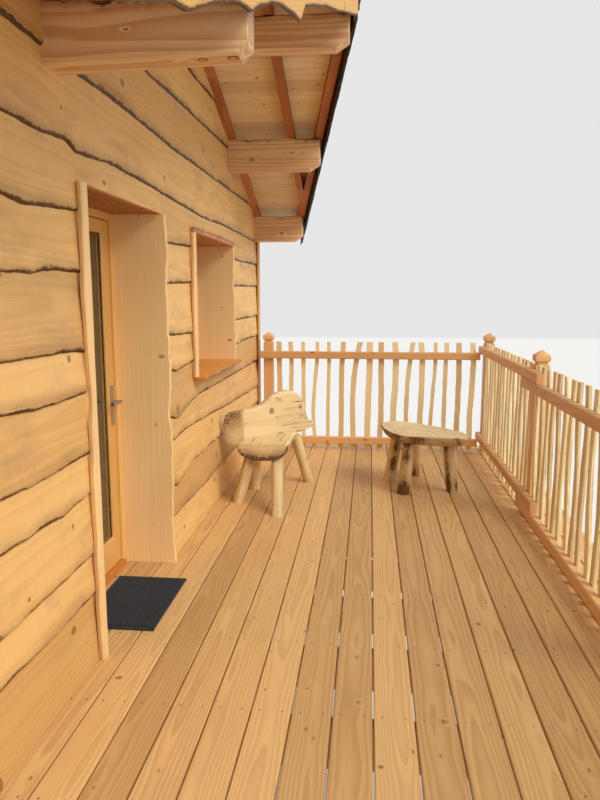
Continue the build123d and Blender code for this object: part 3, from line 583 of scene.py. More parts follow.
lay(2100, 0, DECK_WIDTH, -CABIN_SIDE, DECK_FAR)
lay(2100, DECK_EDGE, DECK_WIDTH, -3.5, -CABIN_SIDE)
lay(2200, DECK_EDGE, DECK_WIDTH, DECK_NEAR, -3.503)
lay(2100, -REVEAL, 0, DOOR_NEAR, DOOR_FAR)
deck.piece("deck_boards", "deck_wood", "deck_floor")
screws.piece("deck_screws", "roof_zinc", slot="deck_timber")

rims = Stock(22)
rim_near, rim_far, rim_in = DECK_NEAR - RIM, DECK_FAR + RIM, DECK_WIDTH - 0.002
for low, high, axis in (
        ((DECK_WIDTH, rim_near), (DECK_WIDTH + RIM, rim_far), "Y"),
        ((-RIM, DECK_FAR), (rim_in, rim_far), "X"),
        ((-RIM, CABIN_SIDE), (0, DECK_FAR - 0.002), "Y"),
        ((DECK_EDGE - RIM, rim_near), (rim_in, DECK_NEAR), "X"),
        ((DECK_EDGE - RIM, DECK_NEAR + 0.002), (DECK_EDGE, -CABIN_SIDE), "Y")):
    rims.straight((*low, DECK - RIM_DEPTH), (*high, DECK), axis)
rims.piece("rim_planks", "deck_wood", "rim_boards")

# Roof


def roof_strip(stock, slope, section, lip=0.0, tone=None):
    """A strip across the roof from verge to verge. section holds (down, above) points."""
    front = verge_x(slope, np.array(section)[:, 0]) + lip
    stock.sweep(RIDGE_POINT, X, DOWN[slope], UP[slope], [BACK - front, front], section, tone)


def plumb(slope, above):
    """Where a plumb cut at the ridge lies down the slope, at a height above the rafters."""
    return -above * FALLS[slope]


SOFFIT_PITCH, GROOVE = 0.115, 0.004
low_n, high_n = RAFTER, RAFTER + SOFFIT
for slope, side in SLOPES.items():
    boards = Stock(30 + slope)
    for course in range(int(math.ceil(REACH[slope] / SOFFIT_PITCH))):
        start, end = course * SOFFIT_PITCH, min((course + 1) * SOFFIT_PITCH, REACH[slope])
        low, high = (start, start) if course else (plumb(slope, low_n), plumb(slope, high_n))
        roof_strip(boards, slope, [
            (low, low_n + GROOVE), (low + GROOVE, low_n), (end - GROOVE, low_n),
            (end, low_n + GROOVE), (end, high_n), (high, high_n)])
    boards.piece(side + "_soffit", "soffit_wood", side + "_roof_boards")

COURSE, TAB, TAB_GAP, LIP = 0.145, 0.333, 0.003, 0.04
felt_top = high_n + COVERING
bed = felt_top - 0.010
for slope, side in SLOPES.items():
    felt = Stock(40 + slope)
    reach = REACH[slope] + LIP
    roof_strip(felt, slope, [(plumb(slope, high_n), high_n), (reach, high_n), (reach, bed),
                             (plumb(slope, bed), bed)], LIP, 0.2)
    for course in range(int(reach / COURSE)):
        low = reach - course * COURSE
        top = max(low - COURSE, plumb(slope, felt_top))
        edge = verge_x(slope, low) + LIP
        section = np.array([(top, bed), (low, bed), (low + 0.002, bed + 0.007),
                            (low - 0.004, bed + 0.010), (top, bed + 0.003)])
        limit = verge_x(slope, section[:, 0]) + LIP
        for place in np.arange(BACK - edge - TAB * (course % 2) / 2, edge, TAB):
            us = np.stack([np.clip(end, BACK - limit, limit)
                           for end in (place + TAB_GAP, place + TAB - TAB_GAP)])
            if (us[1] - us[0]).min() > 0.01:
                felt.sweep(RIDGE_POINT, X, DOWN[slope], UP[slope], us, section)
    felt.piece(side + "_shingles", "mineral_felt", side + "_covering")

BARGE_DROPS, BARGE_LAYER = (0.054, 0.03), 0.0125
# How far the near front barge board hangs below the rafters, by distance down the slope
NEAR_DROP = [(0, 0.024), (0.57, 0.019), (0.9, 0.012), (1.11, 0.017), (1.33, 0.025), (1.42, 0.083),
             (1.52, 0.06), (1.6, 0.051), (1.72, 0.034), (1.85, 0.036), (2.0, 0.051), (2.08, 0.07),
             (2.14, 0.055), (2.21, 0.047), (2.38, 0.052), (2.46, 0.062), (2.54, 0.075),
             (2.61, 0.084), (2.67, 0.074), (2.73, 0.066), (3.2, 0.085)]
barge = Stock(51)
verge = Stock(barge.rng)
for slope in SLOPES:
    us = steps(0.03, REACH[slope], 0.02)
    for way, origin in ((1, VERGE_RIDGE), (-1, BACK - VERGE_RIDGE)):
        for layer, drop in enumerate(BARGE_DROPS):
            # These boards take the darker wood and bark colour up their faces, painted shade; the
            # near front board keeps its lit colour with bark at its lower edge
            stock, bark = barge, [0.9, 0.9, 0.7, 0.4, 0.2, 0.2]
            ragged = barge.waves(0.009, 0.5, 9)(us)
            lower = ragged - drop
            if slope < 0 and way > 0:
                stock, bark = verge, [1, 1, 0.8, 0.1, 0, 0]
                lower = 0.15 * ragged - trace(us, NEAR_DROP) + 0.012 * (1 - layer)
            inner = layer * BARGE_LAYER + 0.0005
            face = inner + BARGE_LAYER - 0.001
            stock.sweep(origin * X + RIDGE_POINT, DOWN[slope] - way * VERGE_IN[slope] * X, way * X,
                        UP[slope], us, outline(
                            (inner, lower), (face - 0.0015, lower), (face, lower + 0.006),
                            (face, lower + 0.02), (face, high_n), (inner, high_n)), None, bark)
# Barge boards in the darker wood, painted shade
barge.piece("barge_planks", "shaded_barge_wood", "barge_boards")
verge.piece("near_verge_planks", "verge_wood", "barge_boards")


# Purlins, with a waney edge along the top of the face towards the near side
WANE = {
    "ridge_purlin": [(0.08, 0), (0.22, 0.02), (0.36, 0.012), (0.5, 0.003), (1.0, 0.008)],
    "far_purlin": [(0.07, 0), (0.2, 0.012), (0.4, 0.006), (0.5, 0), (0.62, 0.014), (0.8, 0.008)],
    "near_purlin": [(0.06, 0.002), (0.25, 0.012), (0.53, 0.006), (0.71, 0.01)],
    "far_eave_purlin": [(0.07, 0), (0.3, 0.008), (0.5, 0.0)],
}
# How far each purlin's end chamfer runs along it and up, and the rounding of its last edge
CHAMFERS = {"near_purlin": (0.039, 0.036)}
CHAMFER, EASE = (0.08, 0.05), 0.004
# The near purlin runs past its solid's end, and rises towards it
NEAR_PAST, NEAR_RISE = 0.009, 0.018
# Round plugs in the near purlin's underside: their places along it and radii
PLUGS, PLUG_IN = ((0.563, 0.0165), (0.667, 0.02)), 0.048
for number, (name, knots) in enumerate(WANE.items()):
    beam = Stock(60 + number)
    low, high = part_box(name)
    past, rise = (NEAR_PAST, NEAR_RISE) if name == "near_purlin" else (0, 0)
    near, far, end = low.y, high.y, high.x + past
    cut_along, cut_up = CHAMFERS.get(name, CHAMFER)
    us = np.concatenate([[low.x, low.x + EASE, low.x + cut_along], steps(-5.3, -0.4, 1.0),
                         steps(0, end - cut_along, 0.02),
                         steps(end - cut_along + 0.001, end - 0.006, 0.02), [end - EASE, end]])
    rough = np.where(us > 0.02, beam.waves(0.003, 0.16, 8)(us), 0)
    dips = np.clip(np.interp(us, *np.transpose(knots), left=0) + rough, 0, None)
    cut = low.z + rise * np.clip(us / end, 0, 1) + np.interp(
        us, [low.x, low.x + cut_along, end - cut_along, end], [cut_up, 0, 0, cut_up])
    shrink = np.interp(us, [low.x, low.x + EASE, end - EASE, end], [EASE, 0, 0, EASE])
    crest = 0.0 if near < 0 < far else (near + far) / 2
    top_near, top_far, top_mid = roof_line(near), roof_line(far), roof_line(crest)
    section = outline(
        (near, cut + 0.005), (near + 0.005, cut), (far - 0.005, cut), (far, cut + 0.005),
        (far, top_far - 0.012), (far - 0.012, top_far - 0.001),
        (crest, top_mid - 0.001 - dips * 0.2), (near + 0.022, top_near - dips * 0.8),
        (near, top_near - 0.006 - dips), (near, top_near - 0.045 - dips * 1.3))
    middle = section.mean(axis=1, keepdims=True)
    section = middle + (section - middle) * (1 - shrink[:, None, None] / 0.06)
    shown = np.clip(dips / 0.02, 0, 1) * 0.6 + 0.35
    bark = np.zeros(section.shape[:2])
    bark[:, 6], bark[:, 7], bark[:, 8], bark[:, 9] = 0.4, shown, shown, shown * 0.12
    # The end grain is painted darker: painted shade on the shadowed ends, also standing for
    # weathered end grain
    bark[[0, -1]] = 0.5
    shift = beam.heart((near + far) / 2, 0.02, (-0.03, 0.03)) - (low.z + top_near) / 2 * Z
    beam.sweep((0, 0, 0), X, Y, Z, us, section, 0.5, bark, shift)
    for x, radius in PLUGS if past else ():
        beam.sweep((x, near + PLUG_IN, low.z + rise * x / end), -Z, Y, X,
                   [-0.004, 0.001, 0.001, 0.0015],
                   [circle(16, radius * share) for share in (1, 1, 0.72, 0.6)], 0.1,
                   [[0.9], [0.9], [0.6], [0.1]], (beam.rng.uniform(0, 40), 0.004, 0.002))
    beam.piece(name + "_timber", "purlin_wood", name)

# Openings


def live_board(stock, wall, upright, low, high, edge, way, depth, spread, sway, worn=0.25,
               ragged=0.006):
    """A lining board that stands proud of the cladding and keeps the tree's own edge.

    It runs from low to high, with its planed side on the opening's edge.
    """
    at, across, out = wall
    us = steps(low, high, 0.03)
    side = np.clip(spread + stock.waves(sway, 1.3)(us), LINING + 0.004, 0.078)
    nose = PROUD - ragged + np.clip(stock.waves(ragged, 0.7)(us), -0.01, 0.008)
    corners = [(0, -depth), (0, nose - 0.003), (0.003, nose), (side - 0.007, nose - 0.001),
               (side, nose - 0.009), (side - 0.004, CLAD + 0.001), (LINING, CLAD + 0.001),
               (LINING, -depth)]
    along, beside = (Z, across) if upright else (across, Z)
    stock.sweep(at, along, beside, out, us, outline(*[(edge + way * v, w) for v, w in corners]),
                stock.rng.uniform(0.55, 0.9), np.array([0, 0.1, 0.2, 1, 2, 2, 0, 0]) * worn)


door_boards = Stock(71)
for edge, way, *look in (DOOR_FAR, 1, 0.035, 0.004), (DOOR_NEAR, -1, 0.048, 0.009, 0.2, 0.0005):
    live_board(door_boards, FRONT, True, 0.001, DOOR_HEAD, edge, way, REVEAL, *look)
door_boards.piece("door_lining_boards", "lining_wood", "door_lining")
# The cladding runs down over the front of the board above the door
head_boards = Stock(door_boards.rng)
head_boards.straight((-REVEAL, door_near, DECK + DOOR_HEAD),
                     (0, door_far, DECK + DOOR_HEAD + LINING), "Y")
# The head board takes the darker head wood, painted shade
head_boards.piece("door_head_board", "shaded_head_wood", "door_lining")

window_boards = Stock(72)
head_boards, sill_boards = Stock(window_boards.rng), Stock(window_boards.rng)
for wall, centre in ((FRONT, WINDOW_MIDDLE), (REAR, WINDOW_MIDDLE), (FAR_SIDE, BACK / 2),
                     (NEAR_SIDE, BACK / 2)):
    left, right = centre - WINDOW_WIDTH / 2, centre + WINDOW_WIDTH / 2
    for edge, way, *look in (right, 1, 0.04, 0.008, 0.4), (left, -1, 0.048, 0.006, 0.15, 0.0005):
        live_board(window_boards, wall, True, WINDOW_LOW, WINDOW_HIGH, edge, way, WINDOW_REVEAL,
                   *look)
    live_board(head_boards, wall, False, left - LINING, right + LINING, WINDOW_HIGH, 1,
               WINDOW_REVEAL, 0.036, 0.005, 0.45, 0.004)
    at, across, out = wall
    us = steps(left - LINING, right + LINING, 0.04)
    nose = CLAD + 0.067 + sill_boards.waves(0.008, 0.9)(us)
    sill_boards.sweep(at + WINDOW_LOW * Z, across, Z, out, us, outline(
        (-LINING, -WINDOW_REVEAL), (0, -WINDOW_REVEAL), (0, nose - 0.012), (-0.006, nose),
        (-0.02, nose - 0.002), (-LINING, nose - 0.014)), 0.7, [0, 0, 0.1, 0.5, 0.6, 0.4])
window_boards.piece("window_lining_boards", "lining_wood", "window_linings")
# The window heads take the darker head wood, painted shade
head_boards.piece("window_head_boards", "shaded_head_wood", "window_linings")
sill_boards.piece("window_sill_boards", "kick_wood", "window_sills")

# Corner trims
trims = Stock(73)
TRIM, TRIM_WIDTH = 0.018, 0.07
for x, out in ((CLAD, 1), (BACK - CLAD, -1)):
    for way in (1, -1):
        low = DECK + 0.002 if out > 0 else DECK - 0.2
        outer = way * (CABIN_SIDE + TRIM)
        top = roof_line(outer) - 0.01
        for y, x_side in (((outer, outer - way * TRIM_WIDTH), (x, x + out * TRIM)),
                          ((outer - way * TRIM, outer), (x, x - out * TRIM_WIDTH))):
            if out < 0 or way > 0 or x_side[1] < x:
                trims.straight((min(x_side), min(y), low), (max(x_side), max(y), top), "Z")
trims.piece("corner_trims", "cladding_wood")

# Railing

POST = 0.092
# Height and width of a post's outline, from the deck up to the point of its cap
POST_PROFILE = [(0, POST), (1.054, POST), (1.06, 0.08), (1.06, 0.072), (1.08, 0.072),
                (1.08, 0.088), (1.086, 0.1), (1.118, 0.1), (1.122, 0.096), (1.156, 0.006)]
RAIL, RAIL_DEEP, PICKET_DEEP = 0.07, 0.045, 0.022
END_RAILS, LOW_RAILS, HIGH_RAILS = (0.06, 0.903), (0.042, 0.888), (0.113, 0.959)
PICKET_LOW, PICKET_HIGH, PICKET_PITCH = 0.015, 1.065, 0.128
PICKET_STEPS = (0, 0.3, 0.6, 0.81, 1)
# A picket's usual half width, how much that varies, and how far its middle sways
PICKET_HALF, PICKET_VARY, PICKET_SWAY = 0.025, 0.005, 0.016
OUTER_POSTS = (0.4, -1.6, -3.6)
MARGIN = 0.173
LEFT_POST = 0.143
GATE = 0.9
# How far a rail runs past the middle of an end post
RAIL_PAST = 0.028
half_post = POST / 2
post_x = DECK_WIDTH - MARGIN - half_post
side_post_x = CLAD - RAIL_DEEP - half_post
near_post_y = DECK_NEAR + MARGIN + half_post
far_corner_y = DECK_FAR - MARGIN - half_post
outer_face = post_x - half_post - RAIL_DEEP
far_face = far_corner_y - half_post - RAIL_DEEP
near_face = near_post_y + half_post + RAIL_DEEP
side_face = side_post_x + half_post + RAIL_DEEP
gate_post_x = side_face + GATE + RAIL_PAST + half_post
cabin_post_y = -CABIN_SIDE - half_post

posts = Stock(81)
for x, y in ((LEFT_POST, far_corner_y), (post_x, far_corner_y), *[(post_x, y) for y in OUTER_POSTS],
             (post_x, near_post_y), (gate_post_x, near_post_y), (side_post_x, near_post_y),
             (side_post_x, cabin_post_y)):
    posts.sweep((x, y, DECK), Z, X, Y, [height for height, w in POST_PROFILE],
                [rounded(-w / 2, w / 2, -w / 2, w / 2, min(0.004, w / 4))
                 for height, w in POST_PROFILE], shift=posts.heart(0, 0.03, (0.01, 0.05)))
posts.piece("posts", "railing_wood", "railing_posts")


def railing(name, face, outward, start, end, bottoms, places, seed, lines=None):
    """A run of rails on the posts' inner faces, with wavy split pickets outside them.

    lines gives each picket's half width and where its middle is at the LINE_HEIGHTS, in mm.
    """
    rails = Stock(seed)
    pickets = Stock(rails.rng)
    along = np.cross(Z, outward)
    sign = along.sum()
    origin = face * outward + DECK * Z
    for bottom in bottoms:
        rails.sweep(origin, along, Z, outward, steps(*sorted((sign * start, sign * end)), 0.5),
                    rounded(bottom, bottom + RAIL, 0, RAIL_DEEP, 0.006))
    us = steps(PICKET_LOW, PICKET_HIGH, 0.05)
    share = (us - PICKET_LOW) / (PICKET_HIGH - PICKET_LOW)
    index = np.arange(len(PICKET_STEPS))
    inner, outer = RAIL_DEEP, RAIL_DEEP + PICKET_DEEP
    for number, place in enumerate(places):
        bends = PICKET_SWAY * np.sin(2.1 * number + 1.7 * index)
        middle = sign * place + np.polyval(np.polyfit(PICKET_STEPS, bends, 4), share)
        half = np.interp(share, PICKET_STEPS,
                         PICKET_HALF + PICKET_VARY * np.sin(3.7 * number + 2.3 * index))
        if lines:
            half, *points = np.array(lines[number]) / 1000
            curve = np.polyfit(LINE_HEIGHTS, points, 3)
            middle = sign * np.polyval(curve, np.clip(us, LINE_HEIGHTS[0], LINE_HEIGHTS[-1]))
        low = middle - half + pickets.waves(0.0018, 0.3)(us)
        high = middle + half + pickets.waves(0.0018, 0.3)(us)
        section = outline(
            (low + 0.003, inner), (high - 0.003, inner), (high, inner + 0.005),
            (high - 0.002, outer - 0.006), (high - 0.009, outer), (low + 0.009, outer),
            (low + 0.002, outer - 0.006), (low, inner + 0.005))
        bark = np.zeros(section.shape[:2])
        bark[:, 3] = bark[:, 6] = np.clip(0.35 + pickets.waves(0.25, 0.8)(us), 0, 0.8)
        pickets.sweep(origin, Z, along, outward, us, section, None, bark,
                      pickets.heart(sign * place, 0.02, (-0.06, -0.03)))
    rails.piece(name + "_rails", "railing_wood", name)
    pickets.piece(name + "_pickets", "picket_wood", name)


def spread(start, end):
    """Middles of pickets spread evenly over a clear length between two posts."""
    count = round((end - start) / PICKET_PITCH)
    return [start + (end - start) * (number + 0.5) / count for number in range(count)]


def between(start, end):
    """Middles of pickets between two posts whose middles are given."""
    return spread(start + half_post, end - half_post)


LINE_HEIGHTS = (0.13, 0.3, 0.5, 0.7, 0.89, 1.06)
FAR_PICKETS = (
    (26, 262, 262, 262, 254, 254, 250), (22, 366, 366, 366, 372, 376, 364),
    (20, 495, 495, 495, 497, 489, 491), (19, 607, 597, 593, 611, 629, 631),
    (18, 740, 736, 740, 744, 744, 742), (25, 867, 869, 871, 871, 873, 887),
    (26, 989, 985, 981, 987, 1019, 1048), (30, 1132, 1128, 1134, 1144, 1138, 1142),
    (27, 1253, 1257, 1261, 1259, 1251, 1253), (30, 1379, 1379, 1385, 1395, 1397, 1383),
    (22, 1510, 1508, 1506, 1510, 1538, 1556), (27, 1638, 1638, 1647, 1651, 1647, 1638),
    (18, 1745, 1745, 1751, 1765, 1775, 1771), (21, 1870, 1870, 1868, 1872, 1874, 1878),
    (26, 1994, 1994, 2000, 2002, 1996, 1992), (26, 2119, 2117, 2121, 2131, 2133, 2123),
)
first, second, third = OUTER_POSTS
near_end = near_post_y - half_post
railing("far_railing", far_face, Y, LEFT_POST - half_post - RAIL_PAST, outer_face, END_RAILS,
        [line[1] / 1000 for line in FAR_PICKETS], 82, FAR_PICKETS)
railing("outer_railing_far", outer_face, X, 0.13, far_corner_y + half_post, HIGH_RAILS,
        between(first, far_corner_y), 83)
railing("outer_railing_middle", outer_face, X, second + 0.001, 0.57, LOW_RAILS,
        between(second, first), 84)
railing("outer_railing_near", outer_face, X, near_end, second - 0.001, LOW_RAILS,
        between(third, second) + between(near_post_y, third), 85)
railing("gate_railing", -near_face, -Y, gate_post_x - half_post - RAIL_PAST, outer_face,
        END_RAILS, spread(gate_post_x + half_post, outer_face), 86)
railing("side_railing", -side_face, -X, near_end, -CABIN_SIDE, END_RAILS,
        between(near_post_y, cabin_post_y), 87)

# Logs


def round_log(stock, foot, top, radius, taper, uneven, around, scars=0.0):
    """A log cut level at both ends, with its own slight swellings and strips of bark."""
    line = np.subtract(top, foot)
    us = steps(0, np.linalg.norm(line), 0.06)
    angle = np.linspace(0, 2 * math.pi, around, endpoint=False)
    swell = stock.waves(uneven * 0.5, 0.9)(us)
    lobes = stock.waves(uneven, 2 * math.pi, 3)(angle)
    reach = radius * (1 - (1 - taper) * (1 - us / us[-1]) + swell)[:, None] * (1 + lobes)
    section = np.stack([reach * np.cos(angle), reach * np.sin(angle)], axis=-1)
    shift = (stock.rng.uniform(0, 40), stock.rng.uniform(-0.2, 0.2) * radius, 0)
    strips = stock.waves(0.4, 2 * math.pi, 5)(angle) + stock.waves(0.3, 0.4)(us)[:, None]
    bark = np.clip(scars + strips, 0, 1) if scars else 0.0
    stock.sweep(foot, line / us[-1], X, Y, us, section, None, bark, shift)


stilts = Stock(91)
STILT, STILT_IN, END_IN = 0.1152, 0.3, 0.26
outer_line = post_x - 0.08
stilt_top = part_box("stilts")[1].z
for x, y in [*[(x, y) for x in (0, BACK / 2, BACK + 0.08, outer_line)
               for y in (STILT_IN - SIDE, 0, SIDE - STILT_IN)],
             (0, DECK_NEAR + END_IN), (outer_line, DECK_NEAR + END_IN)]:
    round_log(stilts, (x, y, 0), (x, y, stilt_top), STILT, 1.0, 0.03, 28)
stilts.piece("stilt_logs", "stilt_wood", "stilts")

# Bench and table of split logs

# The seat's plan: front edge and wall-side edge by place along the wall. Its far end meets
# the flat face of the back, which stands askew.
SEAT, SEAT_DEEP = 0.46, 0.13
SEAT_FRONT = [(0.465, 0.56), (1.012, 0.575)]
SEAT_BACK = [(0.465, 0.2), (0.651, 0.206), (1.012, 0.575)]
seat = Stock(101)
us = steps(0.465, 0.99, 0.025)
fronts = trace(us, SEAT_FRONT) + np.clip(seat.waves(0.006, 0.5)(us), -0.01, 0.004)
backs = trace(us, SEAT_BACK) + np.clip(seat.waves(0.006, 0.5)(us), -0.002, 0.008)
rise = seat.waves(0.004, 0.3)(us)
centres, halves = (backs + fronts) / 2, (fronts - backs) / 2
deep = SEAT_DEEP * np.clip(halves / 0.16, 0.35, 1) ** 0.5
section = outline(
    (backs + 0.012, SEAT - 0.004 + rise * 0.3), (centres, SEAT - 0.003),
    (fronts - 0.012, SEAT - 0.003),
    *[(centres + halves * math.cos(t),
       SEAT - 0.018 - (deep - 0.022) * math.sin(t) ** 0.75 + rise)
      for t in np.linspace(0, math.pi, 11)])
bark = np.zeros(section.shape[:2])
bark[:, 3:] = 0.35
bark[:3, 3:] = 0.8
seat.sweep(DECK * Z, Y, X, Z, us, section, 0.6, bark,
           (seat.rng.uniform(0, 40), -0.38, -SEAT + 0.03))
seat.piece("bench_seat_log", "log_wood", "bench_seat")

# The back stands askew: its flat face towards the seat, its round side towards the wall
back_slab = Stock(102)
BACK_FOOT, BACK_ALONG = np.array((0.234, 0.678, DECK)), np.array((0.714, 0.700, 0))
crown = [(-0.06, 0.655), (0.0, 0.665), (0.10, 0.675), (0.17, 0.70), (0.25, 0.752), (0.33, 0.778),
         (0.4, 0.786), (0.47, 0.772), (0.53, 0.72), (0.56, 0.655), (0.572, 0.59), (0.59, 0.535),
         (0.62, 0.524), (0.65, 0.512)]
foot_line = [(-0.06, 0.40), (0.3, 0.40), (0.5, 0.44), (0.65, 0.468)]
thick = [(-0.06, 0.11), (0.4, 0.105), (0.56, 0.08), (0.65, 0.04)]
us = np.concatenate([steps(-0.03, 0.54, 0.03), steps(0.55, 0.65, 0.0125)])
top = trace(us, crown) + back_slab.waves(0.003, 0.3)(us)
low, deep = trace(us, foot_line), trace(us, thick)
shares = [(0, 0.0), (0.03, 0.0), (0.5, 0.002), (0.93, 0.0), (0.99, -0.18), (1.0, -0.45),
          (0.97, -0.72), (0.86, -0.9), (0.6, -1.0), (0.3, -0.97), (0.08, -0.85), (0, -0.5)]
section = outline(*[(low + (top - low) * a, deep * b if b < 0 else b) for a, b in shares])
# The near end is cut square to the wall, across the slab's own line
square = BACK_ALONG[0] / BACK_ALONG[1]
skew = np.clip(1 - (us + 0.03) / 0.2, 0, 1)[:, None] * section[..., 1] * square
bark = np.zeros(section.shape[:2])
bark[:, 5:11] = 0.35
bark[:2, 4:] = 0.62
back_slab.sweep(BACK_FOOT, BACK_ALONG, Z, np.cross(BACK_ALONG, Z), us[:, None] + skew, section,
                0.7, bark, (back_slab.rng.uniform(0, 40), -0.55, 0.06))
back_slab.piece("bench_back_slab", "log_wood", "bench_back")

legs = Stock(103)
for top, foot, height in (((0.48, 0.545), (0.52, 0.254), 0.345),
                          ((0.28, 0.545), (0.186, 0.541), 0.345),
                          ((0.282, 0.8), (0.25, 0.898), 0.41),
                          ((0.55, 1.062), (0.651, 1.164), 0.41)):
    round_log(legs, (*foot, DECK), (*top, DECK + height), 0.045, 0.92, 0.07, 18, -0.15)
legs.piece("bench_leg_logs", "log_wood", "bench_legs")

TABLE_TOP, TABLE_DEEP, TABLE_AROUND = 0.46, 0.075, 78
TABLE_MIDDLE = np.array((1.56, 1.13))
TABLE_RIM = [(-0.18, -0.245), (-0.097, -0.284), (0.1, -0.315), (0.302, -0.335), (0.345, -0.23),
             (0.308, -0.07), (0.18, 0.09), (0.0, 0.25), (-0.16, 0.35), (-0.27, 0.32),
             (-0.315, 0.21), (-0.298, 0.03), (-0.25, -0.13)]
table = Stock(104)
table_base = DECK + TABLE_TOP - TABLE_DEEP
count = np.arange(TABLE_AROUND)
closed = np.array(TABLE_RIM + TABLE_RIM[:1]) + TABLE_MIDDLE
share = np.linspace(0, len(TABLE_RIM), TABLE_AROUND, endpoint=False)
rim = np.stack([np.interp(share, np.arange(len(closed)), closed[:, i]) for i in range(2)], 1)
rim += np.stack([table.waves(0.004, TABLE_AROUND, 9)(count) for i in range(2)], 1)
centre = rim.mean(0)
# Height and share of the outline: the top is flat and the underside tapers like a log's
profile = [(0, 0.55), (0.0, 0.8), (0.018, 0.91), (0.04, 0.97), (0.06, 0.995),
           (TABLE_DEEP - 0.004, 0.99), (TABLE_DEEP, 0.97), (TABLE_DEEP, 0.5)]
us = np.array([[height] for height, size in profile])
section = np.stack([(rim - centre) * size for height, size in profile])
bark = np.zeros(section.shape[:2])
bark[1:6] = np.clip(0.55 + table.waves(0.3, TABLE_AROUND, 9)(count), 0.1, 1)
lumps = (1 - us / TABLE_DEEP) * table.waves(0.008, TABLE_AROUND, 9)(count)
v, w = section[..., 0], section[..., 1]
# The slab's grain runs askew across the deck
table.loft(np.stack([centre[0] + v, centre[1] + w, table_base + us - lumps], -1),
           np.stack([v * 0.78 - w * 0.62 + 3.0, v * 0.62 + w * 0.78, 0 * v + us + 0.04], -1),
           0.6, bark)
table.piece("table_slab", "log_wood", "table_top")

table_legs = Stock(table.rng)
for top, foot in (((-0.105, -0.19), (-0.142, -0.248)), ((-0.18, 0.12), (-0.239, 0.149)),
                  ((-0.04, 0.18), (-0.008, 0.319)), ((0.2, -0.14), (0.235, -0.161))):
    round_log(table_legs, (*(TABLE_MIDDLE + foot), DECK),
              (*(TABLE_MIDDLE + top), table_base + 0.012), 0.05, 0.92, 0.08, 18, 0.3)
table_legs.piece("table_leg_logs", "log_wood", "table_legs")

# Door

STILE, TOP_RAIL, BOTTOM_RAIL = 0.085, 0.055, 0.15
low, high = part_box("door_leaf")
pane_near, pane_far = low.y + STILE, high.y - STILE
pane_low, pane_high = low.z + BOTTOM_RAIL, high.z - TOP_RAIL
leaf = Stock(111)
for near, far in ((low.y, pane_near), (pane_far, high.y)):
    leaf.straight((low.x, near, low.z), (high.x, far, high.z), "Z")
for bottom, top in ((low.z, pane_low), (pane_high, high.z)):
    leaf.straight((low.x, pane_near, bottom), (high.x, pane_far, top), "Y", 0.0015)
BEAD, BEAD_BACK, BEAD_DEEP = 0.012, 0.002, 0.0115
for inner in (low.x + BEAD_BACK, high.x - BEAD_BACK - BEAD_DEEP):
    face = inner + BEAD_DEEP
    for near in (pane_near, pane_far - BEAD):
        leaf.straight((inner, near, pane_low), (face, near + BEAD, pane_high), "Z")
    for bottom in (pane_low, pane_high - BEAD):
        leaf.straight((inner, pane_near + BEAD, bottom), (face, pane_far - BEAD, bottom + BEAD),
                      "Y")
leaf.piece("door_leaf_timber", "joinery_wood", "door_leaf", body="door")

plates = Stock(leaf.rng)
HANDLE_Z, PLATE = DECK + 0.945, 0.005
handle_y = high.y - STILE / 2
for inner in (high.x, low.x - PLATE):
    plates.straight((inner, handle_y - 0.019, HANDLE_Z - 0.128),
                    (inner + PLATE, handle_y + 0.019, HANDLE_Z + 0.088), "Z", 0.002)
    key = inner + PLATE / 2
    plates.straight((key - 0.004, handle_y - 0.008, HANDLE_Z - 0.095),
                    (key + 0.004, handle_y + 0.008, HANDLE_Z - 0.062), "Z", 0.002)
plates.piece("handle_plates", "brushed_steel", body="door")

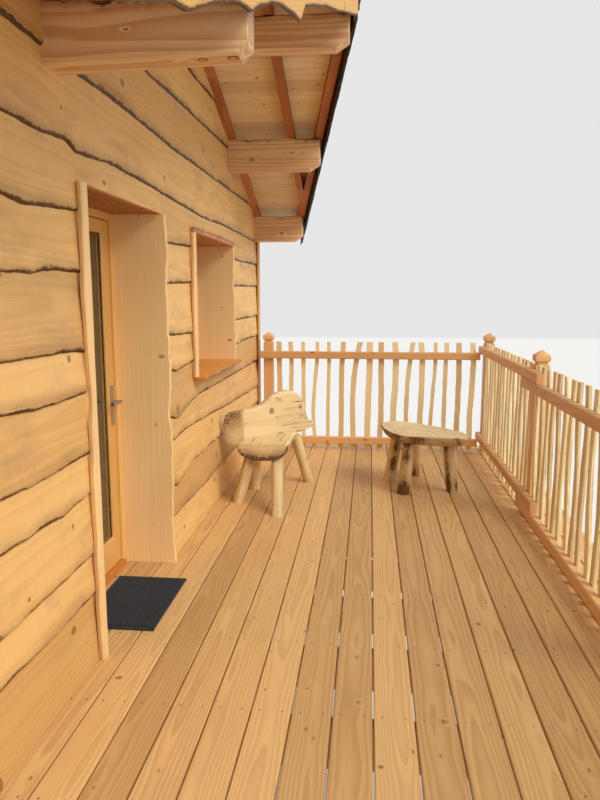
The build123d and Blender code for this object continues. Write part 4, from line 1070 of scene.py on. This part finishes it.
# Door mat
mat = Stock(121)
low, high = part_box("door_mat")
RIB, EDGE = 0.012, 0.018
left, right, near, far = low.x + EDGE, high.x - EDGE, low.y + EDGE, high.y - EDGE
mat.straight((left, near, low.z), (right, far, low.z + 0.006), "Y")
for start, end in ((low.y, near), (far, high.y)):
    mat.straight((low.x, start, low.z), (high.x, end, high.z - 0.003), "X")
for start, end in ((low.x, left), (right, high.x)):
    mat.straight((start, near, low.z), (end, far, high.z - 0.003), "Y")
for place in np.arange(left + 0.003, right - RIB, RIB + 0.003):
    mat.straight((place, near + 0.002, low.z + 0.005), (place + RIB, far - 0.002, high.z), "Y",
                 0.004)
mat.piece("ribbed_mat", "mat_pile", "door_mat")

# CAD nodes that keep their own shape
for finish, nodes in {
        "sawn_wood_y": ["bearers"],
        "sawn_wood_x": ["deck_joists"],
        "floor_wood": ["cabin_floor"],
        "panel_wood": [f"{side}_wall_{kind}" for side in ("front", "back", "far", "near")
                       for kind in ("piers", "panels")],
        "rafter_wood": ["rafters", "verge_rafters"],
        "plate_wood": ["near_eave_purlin"],
        "frame_wood": ["door_frame", "window_frames"],
        "door_sill_wood": ["door_sill"],
        "brushed_steel": ["door_handles", "door_hinges", "frame_hinges"],
        "roof_zinc": ["ridge_cap"],
        "window_glass_pane": ["door_glass", "window_glass"]}.items():
    material, slot = FINISHES[finish]
    for name in nodes:
        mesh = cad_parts[name].data
        mesh.materials.clear()
        mesh.materials.append(material)

# Floor, light and camera

mesh = bpy.data.meshes.new("ground")
mesh.from_pydata([(-60, -60, 0), (60, -60, 0), (60, 60, 0), (-60, 60, 0)], [], [(0, 1, 2, 3)])
pale = Nodes("pale_floor")
pale.finish(None, {"Base Color": (0.74, 0.74, 0.73, 1), "Roughness": 0.9})
mesh.materials.append(pale.material)
add("ground", mesh)

scene = bpy.context.scene
scene.view_settings.view_transform = "Standard"
scene.world = bpy.data.worlds.new("studio")
scene.world.use_nodes = True
background = scene.world.node_tree.nodes["Background"]
background.inputs["Color"].default_value = (0.97, 0.97, 0.98, 1)
background.inputs["Strength"].default_value = 0.82

key = bpy.data.lights.new("key", "SUN")
key.energy = 2.05
key.angle = math.radians(35)
key.color = (1.0, 0.96, 0.9)
lamp = add("key", key)
lamp.rotation_euler = Vector((-0.62, 0.42, -0.66)).to_track_quat("-Z", "Y").to_euler()

lens = bpy.data.cameras.new("camera")
lens.lens = 30.6
lens.clip_end = 200
camera = add("camera", lens)
camera.location = (1.138, -4.260, 3.916)
camera.rotation_euler = (math.radians(90 - 8.764), 0, math.radians(5.836))
scene.camera = camera
